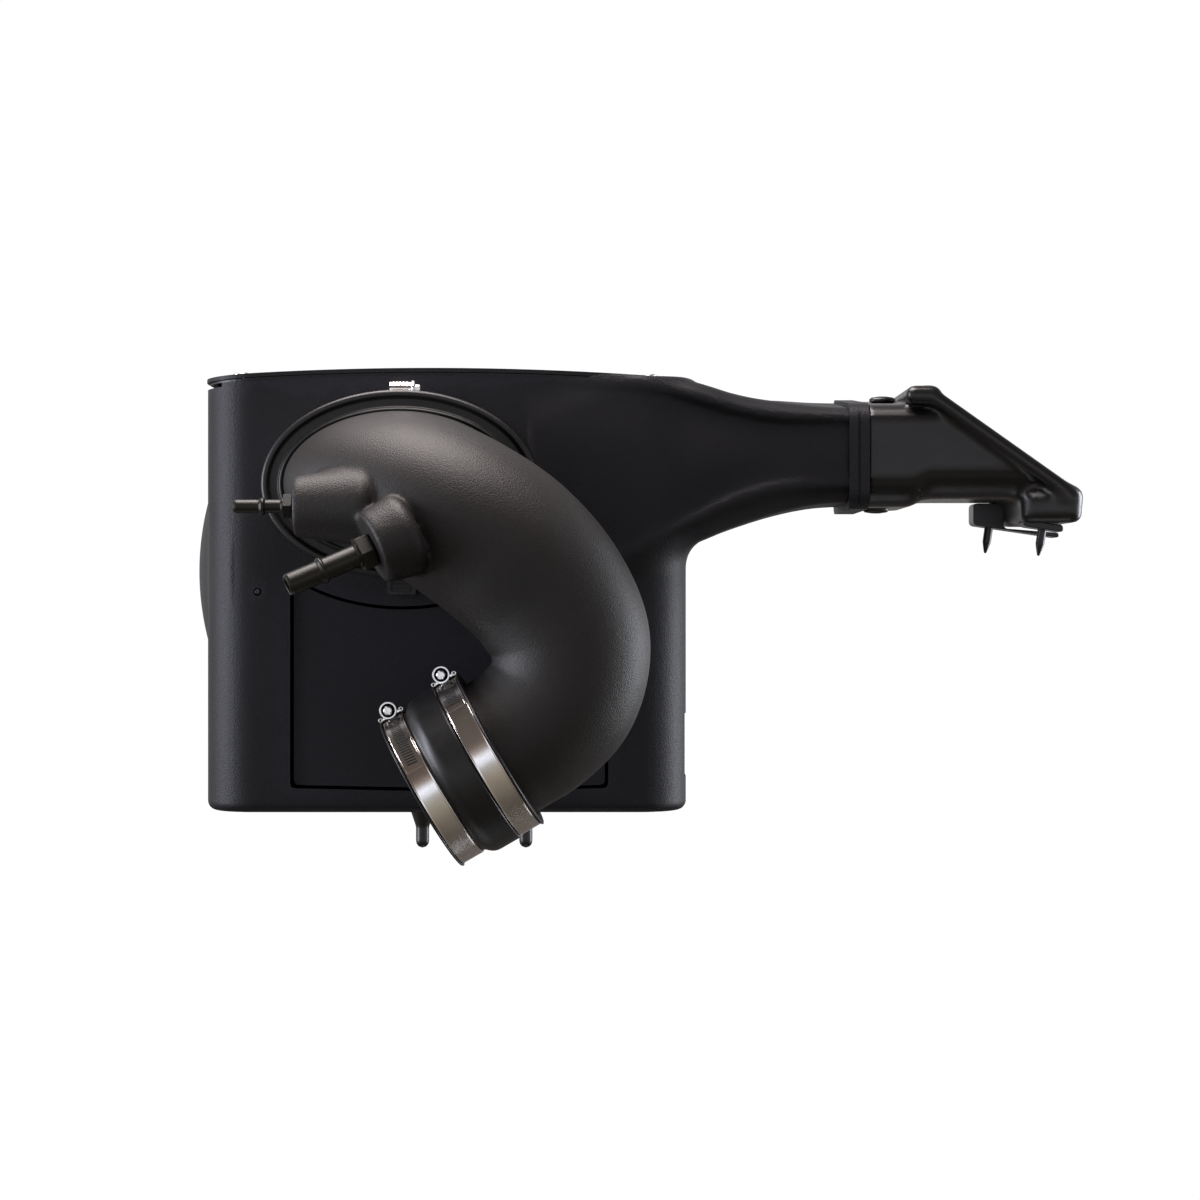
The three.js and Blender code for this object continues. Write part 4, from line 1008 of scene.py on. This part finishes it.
def clamp_tail(name, seat, bend, low, high):
    """The band's free end, bent round the hose, with thin blocks where the slots that the worm runs in would
    be; they carry painted shade in place of open slots.
    """
    pitch, slot_half_length, slot_half_width, slant = 2.1, 3.8, 0.55, 0.12
    inner, outer, plain_end, end_thinning = bend + 0.68, bend + 1.1, 5, 0.36
    half = BAND_WIDTH / 2 - 1.4
    edge, edge_drop = 0.3, 0.12
    widths = [-half, -half + edge, half - edge, half]
    columns = round((high - low) * bend / pitch * 2)

    def height(angle):
        return outer - end_thinning * max(0, 1 - (angle - low) * bend / plain_end)

    def corner(angle, r, w):
        return r * math.cos(angle) + seat - bend, r * math.sin(angle), w

    verts, faces = [], []
    for i in range(columns + 1):
        angle = low + (high - low) * i / columns
        verts += [corner(angle, height(angle) - (edge_drop if abs(w) == half else 0), w) for w in widths]
        verts += [corner(angle, inner, w) for w in (half, -half)]
    ring = len(widths) + 2
    for i in range(columns):
        for j in range(ring):
            k = (j + 1) % ring
            faces.append((i * ring + j, i * ring + k, (i + 1) * ring + k, (i + 1) * ring + j))
    faces += [tuple(range(ring)), tuple(range(columns * ring, (columns + 1) * ring))]
    first_slot = len(faces)
    for i in range(int(((high - low) * bend - plain_end) / pitch)):
        middle = low + (plain_end + i * pitch) / bend
        start = len(verts)
        for level in (-0.2, 0.05):
            for w, side in ((-1, -1), (-1, 1), (1, 1), (1, -1)):
                angle = middle + (side * slot_half_width + w * slant * slot_half_length) / bend
                verts.append(corner(angle, height(angle) + level, w * slot_half_length))
        faces += [tuple(start + k for k in quad) for quad in BLOCK_FACES]
    return new_mesh(name, verts, faces), first_slot


def arc(centre, radius, start, end, steps):
    return [(centre + radius * math.cos(t), radius * math.sin(t)) for t in np.linspace(start, end, steps)]


def clamp_housing(name, seat):
    """A pressed housing arched over the worm, with end flanges and a ribbed back."""
    base, length, centre = seat + 1.8, 15.6, seat + SCREW_HEIGHT
    arch_radius, worm_room, foot_half_width = 5.3, 4.1, 7.8
    outline = [(base, -foot_half_width), (base, foot_half_width)]
    outline += [(base + 1, foot_half_width), (base + 1.2, 6)]
    outline += arc(centre, arch_radius, 1.9, -1.9, 22)
    outline += [(base + 1.2, -6), (base + 1, -foot_half_width)]
    shell = prism(name, outline, -length / 2, length / 2)
    tools = [prism("worm", ellipse(worm_room, worm_room, centre, 0, 32), -length, length)]
    tools.append(prism("way", rounded_rectangle(seat, -4.5, base + 1.4, 4.5, 0.3, 2), -length, length))
    combine(shell, tools)
    ribs = []
    for i in range(5):
        z = -4.8 + 2.4 * i
        rib = arc(centre, arch_radius + 0.45, 1.1, -1.1, 16) + arc(centre, arch_radius - 0.4, -1.1, 1.1, 16)
        ribs.append(prism("rib", rib, z - 0.5, z + 0.5))
    combine(shell, ribs, "UNION")
    bevel(shell, 0.22, 40, 2)
    eyes = []
    for side in (-8.1, 8.1):
        ring = [(0.8, -length / 2), (1.7, -length / 2), (1.7, length / 2), (0.8, length / 2)]
        eye = turned("eye", soften(ring, 0.3, 2, closed=True), 24)
        eyes.append(placed(eye, Matrix.Translation(((base + 1.1) * MM, side * MM, 0))))
    whole = merge(name, [shell, *eyes])
    return placed(whole, Matrix.Rotation(math.pi / 2, 4, "X"))


def recess_faces(thing, floor, rim, inner, outer):
    """The floor and the wall of a screw head's round recess, which get painted shade."""
    centres = [face.center / MM for face in thing.data.polygons]
    radii = [math.hypot(c.x, c.y) for c in centres]
    faces = [i for i, c in enumerate(centres) if abs(c.z - floor) < 0.05 and radii[i] < outer]
    faces += [i for i, c in enumerate(centres) if rim < c.z < floor - 0.1 and inner < radii[i] < outer + 0.3]
    return faces


def clamp_screw(name, seat):
    """The worm: threaded shaft, round collar and a slotted hexagon head at -Y."""
    thread = [(0, 7.4)]
    turns, root, crest = 10, 2.9, 3.8
    for i in range(turns):
        z = 7 - 14.4 * i / turns
        thread += [(root, z), (crest, z - 0.45), (crest, z - 0.75), (root, z - 1.2)]
    floor, floor_radius = -8.6, 4.6
    washer = [(3, -7.8), (5.6, -8.1), (6.1, -8.6), (6.1, -9.7), (5.8, -10.2), (4.9, -10.2)]
    shaft = turned(name, [*thread, *washer, (floor_radius, floor), (0, floor)], 40, closed=False)
    head = prism("head", hexagon(3.3), -14.2, -8)
    rounding = [(0, -14.4), (2.7, -14.1), (3.5, -13.2), (3.5, -7.5), (0, -7.5)]
    combine(head, [turned("dome", rounding, 48, closed=False)], "INTERSECT")
    combine(head, [prism("slot", rounded_rectangle(-6, -0.6, 6, 0.6, 0.1, 1), -16, -12.9)])
    bevel(head, 0.25, 30, 2)
    whole = merge(name, [shaft, head])
    recess = recess_faces(whole, floor, -10.1, 4.4, floor_radius)
    along_y = axes((1, 0, 0), (0, 0, -1), (0, 1, 0), (seat + SCREW_HEIGHT, 0, 0))
    return placed(whole, along_y), recess


def worm_clamp(name, matrix, seat, free_end, seat_b=None, bend=None):
    """One clamp; free_end is how far round the hose its slotted end lies, in radians."""
    bend = bend or seat
    reach = seat / bend
    squeeze, behind_housing = 0.15, 0.44
    band = clamp_band(f"{name}_band_look", seat - squeeze, (seat_b or seat) - squeeze)
    dress(placed(band, matrix), STAINLESS, "intake", "stainless", f"{name}_band", angle=40)
    tail, first_slot = clamp_tail(f"{name}_tail_look", seat, bend, -free_end * reach, behind_housing * reach)
    dress(placed(tail, matrix), STAINLESS, f"{name}_tail", "stainless", f"{name}_tail", angle=40)
    # Painted shade on the tail's slot blocks.
    darken(tail, range(first_slot, len(tail.data.polygons)))
    housing = clamp_housing(f"{name}_housing_look", seat)
    dress(placed(housing, matrix), STAINLESS, "intake", "stainless", f"{name}_housing", angle=35)
    screw, recess = clamp_screw(f"{name}_screw_look", seat)
    dress(placed(screw, matrix), SCREW_STEEL, f"{name}_screw", "zinc_steel", f"{name}_screw", angle=30)
    # Painted shade on the floor and wall of the screw head's recess.
    darken(screw, recess)


def collar_clamp():
    """The clamp round the oval collar, its screw at the top where the oval is flattest."""
    high, wide = COLLAR_CLAMP_SEATS
    matrix = axes((0, 0, 1), (-1, 0, 0), (0, -1, 0), (RING_X, COLLAR_CLAMP_Y, RING_Z))
    worm_clamp("collar_clamp", matrix, high, free_end=0.84, seat_b=wide, bend=wide**2 / high)


def darken(thing, faces):
    """Gives some faces a second, dark material: painted shade standing for the shadowed floors of slots and
    recesses.
    """
    thing.data.materials.append(SHADOW)
    for face in faces:
        thing.data.polygons[face].material_index = 1


# ---------------------------------------------------------------- scoop
def scoop_field(x, y, z, inset=0.0):
    """The scoop's box section, rising at its underside and tapering up at its top's far side."""
    near, far = SCOOP_NEAR + inset, SCOOP_FAR - inset
    step_height, step_x, step_softness = 6, 350, 2.6
    bottom = SCOOP_BOTTOM + step_height / (1 + np.exp(-(x - step_x) / step_softness)) + inset
    top = SCOOP_TOP + SCOOP_TOP_RISE * (y - near) / (far - near) - inset
    side = np.abs(y - (near + far) / 2) - (far - near) / 2
    middle = (top + bottom) / 2
    height = np.abs(z - middle) - (top - bottom) / 2
    top_corner, bottom_corner = 13, 27
    return rounded_slab(side, height, np.where(z > middle, top_corner, bottom_corner) - inset)


def scoop_solid(x, y, z, down, out):
    """The scoop from outside: its box, the rim round its slanting mouth, its brow and its chin."""
    half_width, rim_reach, rim_end, body_end = 71, 77.5, 470, 462
    across = np.abs(y - SCOOP_MIDDLE)
    body = np.maximum(scoop_field(x, y, z), np.maximum(SCOOP_START - x, out + 5))
    body = np.maximum(body, x - body_end)
    plan = rounded_slab(np.abs(down - 3.5) - 71.5, across - rim_reach, 18)
    rim = rounded_slab(plan, np.abs(out + 5.5) - 5.5, 5)
    flare = across - (half_width - 5) - 11 * np.clip((x - 424) / 36, 0, 1)
    chin = rounded_slab(rounded_slab(np.abs(x - 447) - 22, np.abs(z - 225) - 12, 7), flare, 9)
    brow = rounded_slab(np.abs(x - 352) - 13, np.abs(z - 306.7) - 7.2, 7)
    brow = rounded_slab(brow, across - (half_width + 6), 6)
    solid = smooth_join(smooth_join(smooth_join(body, rim, 5), brow, 3), chin, 9)
    solid = np.maximum(solid, np.maximum(x - rim_end, SCOOP_START - x))
    return np.maximum(solid, across - (half_width + 7))


def scoop_hollow(x, y, z, down, out):
    """The scoop's passage: the throat behind the mouth, and the way back to the duct."""
    wall = 3
    inside = np.maximum(scoop_field(x, y, z, wall), np.maximum(out - 30, x - 440))
    throat = np.maximum(rounded_slab(np.abs(down) - 60, np.abs(y - SCOOP_MIDDLE) - 63, 26), -out - 12)
    return smooth_join(inside, throat, 6)


def scoop_skin():
    xs = grid_steps((308, 476, 1.8))
    ys = grid_steps((-126, 38, 2.0))
    zs = grid_steps((207, 326, 1.7))
    x, y, z = xs[:, None, None], ys[None, :, None], zs[None, None, :]
    slope_cos, slope_sin = math.cos(MOUTH_SLOPE), math.sin(MOUTH_SLOPE)
    down = (x - MOUTH_X) * slope_cos - (z - MOUTH_Z) * slope_sin
    out = (x - MOUTH_X) * slope_sin + (z - MOUTH_Z) * slope_cos
    solid = scoop_solid(x, y, z, down, out)
    shell = surface_nets("scoop_look", smooth_cut(solid, scoop_hollow(x, y, z, down, out), 3), xs, ys, zs)
    relax(shell, 2)
    return thin_out(shell, 0.5)


def scoop_clips():
    """A round clip on the scoop's top, and one under it, that hold it to the duct's flange."""
    profile = [(0, -2.5), (8, -2.2), (10, -1), (10, 0.4), (8.4, 1.9), (3.2, 2.7), (0, 2.8)]
    clips = []
    for x, y, z, up in ((328, -52, 307.5, 1), (323, -52, 224.3, -1)):
        clip = turned("clip", profile, 40, closed=False)
        clip.data.transform(Matrix.Diagonal((1, 0.7, up, 1)))
        clips.append(placed(clip, Matrix.Translation((x * MM, y * MM, z * MM))))
    return clips


def scoop():
    shell = scoop_skin()
    sleeve = loft("sleeve", [scoop_section(x, 7) for x in (301.5, 316)])
    combine(sleeve, [loft("sleeve_bore", [scoop_section(x, 9.5) for x in (295, 320)])])
    whole = merge("scoop_look", [shell, sleeve, *scoop_clips()])
    dress(whole, SCOOP_PLASTIC, "intake", "smooth_plastic", "scoop", angle=50)


def scoop_section(x, inset):
    near, far, bottom = SCOOP_NEAR + inset, SCOOP_FAR - inset, SCOOP_BOTTOM + inset
    top_near, top_far = SCOOP_TOP - inset, SCOOP_TOP + SCOOP_TOP_RISE - inset
    corners = [(near, bottom), (far, bottom), (far, top_far), (near, top_near)]
    return [(x, y, z) for y, z in soften(corners, 12 - inset, 5, closed=True)]


# The scoop's feet: each outline as (x, z), its span along Y, and its pin's x, top z and length.
FEET = {
    "far": {
        "outline": [
            (402, 230.6), (425.5, 230.6), (425.5, 211.3), (468, 207.8),
            (468, 204.1), (425, 210.4), (402, 213.75),
        ],
        "span": (-14, 14),
        "pin": (417, 220, 28),
    },
    "near": {
        "outline": [
            (428, 217.8), (434, 216.2), (446, 212.8), (457, 211.6), (457, 206.2), (430, 210.15), (427, 212),
        ],
        "span": (-103, -77),
        "pin": (443.5, 210.6, 22),
    },
}


PIN_TILT = math.radians(8.3)


def scoop_feet():
    for name, foot in FEET.items():
        low, high = foot["span"]
        outline = soften(foot["outline"], 3.5, 4, closed=True)
        block = upright(prism(f"scoop_foot_{name}_look", outline, -high, -low))
        bevel(block, 1.0, 25, 3)
        dress(block, SCOOP_PLASTIC, "intake", "smooth_plastic", f"scoop_foot_{name}")
        x, z, length = foot["pin"]
        tip = [(0, 0), (0.9, 0.3), (1.6, 2.4), (3.1, 8), (3.3, 9.5)]
        profile = [(r, above - length) for r, above in tip] + [(3.3, 0), (0, 0)]
        pin = turned(f"scoop_pin_{name}_look", soften(profile, 1.2, 3), 36, closed=False)
        place = Matrix.Translation((x * MM, (low + high) / 2 * MM, z * MM))
        tilted = place @ Matrix.Rotation(PIN_TILT, 4, "Y")
        dress(placed(pin, tilted), SCOOP_PLASTIC, "intake", "smooth_plastic", f"scoop_pin_{name}")


# ---------------------------------------------------------------- CAD nodes that stay
KEPT = {
    "lid_gasket": RUBBER,
    "filter_end_cap": RUBBER,
    "small_spigot_seal": RUBBER,
    "large_spigot_seal": RUBBER,
    "scoop_seal": RUBBER,
    "filter_media": FILTER_COTTON,
    **{f"threaded_insert_{i}": BRASS for i in range(1, 6)},
}


def dress_kept_nodes():
    for node, material in KEPT.items():
        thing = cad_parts[node]
        thing.data.materials.clear()
        thing.data.materials.append(material)


# ---------------------------------------------------------------- assembly
air_box()
lid()
lid_screws()
pegs()
front_rivet()
filter_collar()
intake_tube()
spigot(
    "small_spigot", SMALL_BOSS, radius=4.75, bore=3, bead=6.15, across=9.5, height=6, length=42.5, bead_at=22
)
spigot(
    "large_spigot", LARGE_BOSS, radius=7.9, bore=5.6, bead=9.6, across=13, height=9, length=64, bead_at=38
)
coupler()
worm_clamp("tube_clamp", hose_frame(TUBE_CLAMP_AT), TUBE_CLAMP_SEAT, free_end=0.84)
worm_clamp("outlet_clamp", hose_frame(OUTLET_CLAMP_AT), OUTLET_CLAMP_SEAT, free_end=1.25)
collar_clamp()
scoop()
scoop_feet()
dress_kept_nodes()


# ---------------------------------------------------------------- studio
TABLE_Z = -1500


def add_floor():
    """A pale table top, well under the part."""
    left, near, right, far = -450, -250, 650, 500
    corners = [(left, near, TABLE_Z), (right, near, TABLE_Z), (right, far, TABLE_Z), (left, far, TABLE_Z)]
    floor = new_mesh("floor", corners, [(0, 1, 2, 3)])
    n = Nodes("floor_paper")
    n.set(Roughness=0.9, Specular_IOR_Level=0.0)
    n.link(n.blend(n.noise(3), (0.86, 0.86, 0.86), (0.9, 0.9, 0.9)), n.shader.inputs["Base Color"])
    floor.data.materials.append(n.material)


def add_light(name, place, aim, size, power, colour=(1, 1, 1)):
    data = bpy.data.lights.new(name, "AREA")
    data.shape, data.size, data.size_y = "RECTANGLE", size[0], size[1]
    data.energy, data.color = power, colour
    light = bpy.data.objects.new(name, data)
    light.location = place
    light.rotation_euler = (Vector(aim) - Vector(place)).to_track_quat("-Z", "Y").to_euler()
    bpy.context.collection.objects.link(light)


# The studio as the part mirrors it, by height: 0 is straight down, 0.5 level, 1 straight up.
FRONT_STOPS = [
    (0.0, (0.05, 0.045, 0.04)),
    (0.30, (0.29, 0.25, 0.20)),
    (0.41, (0.40, 0.385, 0.36)),
    (0.47, (0.95, 1.0, 1.1)),
    (0.52, (1.2, 1.25, 1.42)),
    (0.57, (0.34, 0.27, 0.23)),
    (0.64, (0.12, 0.09, 0.075)),
    (1.0, (0.05, 0.045, 0.04)),
]
BACK_STOPS = [
    (0.0, (0.08, 0.07, 0.065)),
    (0.36, (0.16, 0.14, 0.13)),
    (0.47, (0.7, 0.69, 0.7)),
    (1.0, (0.8, 0.78, 0.8)),
]


def colour_by_height(tree, level, stops):
    node = tree.nodes.new("ShaderNodeValToRGB")
    elements = node.color_ramp.elements
    elements[0].position, elements[0].color = stops[0][0], (*stops[0][1], 1)
    elements[1].position, elements[1].color = stops[-1][0], (*stops[-1][1], 1)
    for position, colour in stops[1:-1]:
        elements.new(position).color = (*colour, 1)
    tree.links.new(level, node.inputs[0])
    return node.outputs["Color"]


def add_world():
    """White behind the part for the camera; a dimmer studio for what the part reflects."""
    world = bpy.data.worlds.new("studio")
    bpy.context.scene.world = world
    world.use_nodes = True
    tree = world.node_tree
    background = tree.nodes["Background"]
    place = tree.nodes.new("ShaderNodeTexCoord")
    split = tree.nodes.new("ShaderNodeSeparateXYZ")
    tree.links.new(place.outputs["Generated"], split.inputs[0])
    behind = ranged(tree, split.outputs["Y"], (0.2, 0.85))
    level = ranged(tree, split.outputs["Z"], (-1, 1), "LINEAR")
    around = tree.nodes.new("ShaderNodeMix")
    around.data_type = "RGBA"
    tree.links.new(behind, around.inputs[0])
    tree.links.new(colour_by_height(tree, level, FRONT_STOPS), around.inputs[6])
    tree.links.new(colour_by_height(tree, level, BACK_STOPS), around.inputs[7])
    path = tree.nodes.new("ShaderNodeLightPath")
    pick = tree.nodes.new("ShaderNodeMix")
    pick.data_type = "RGBA"
    tree.links.new(path.outputs["Is Camera Ray"], pick.inputs[0])
    tree.links.new(around.outputs[2], pick.inputs[6])
    pick.inputs[7].default_value = (1.02, 1.02, 1.02, 1)
    tree.links.new(pick.outputs[2], background.inputs["Color"])


def ranged(tree, value, limits, kind="SMOOTHSTEP"):
    """A step from 0 to 1 between two limits."""
    node = tree.nodes.new("ShaderNodeMapRange")
    node.interpolation_type = kind
    node.inputs["From Min"].default_value, node.inputs["From Max"].default_value = limits
    tree.links.new(value, node.inputs["Value"])
    return node.outputs["Result"]


add_floor()
add_world()
add_light("top_softbox", (-0.15, -0.25, 1.45), (0.0, -0.15, 0.2), (1.2, 0.7), 42, (1, 0.92, 0.9))
add_light("left_card", (-1.6, -0.45, 0.25), (-0.1, -0.1, 0.15), (0.8, 1.2), 34, (0.88, 0.9, 1))
add_light("right_card", (1.5, 0.2, 0.2), (0.15, -0.15, 0.15), (0.5, 1.2), 27, (0.9, 0.93, 1))
bpy.context.scene.view_settings.view_transform = "Standard"
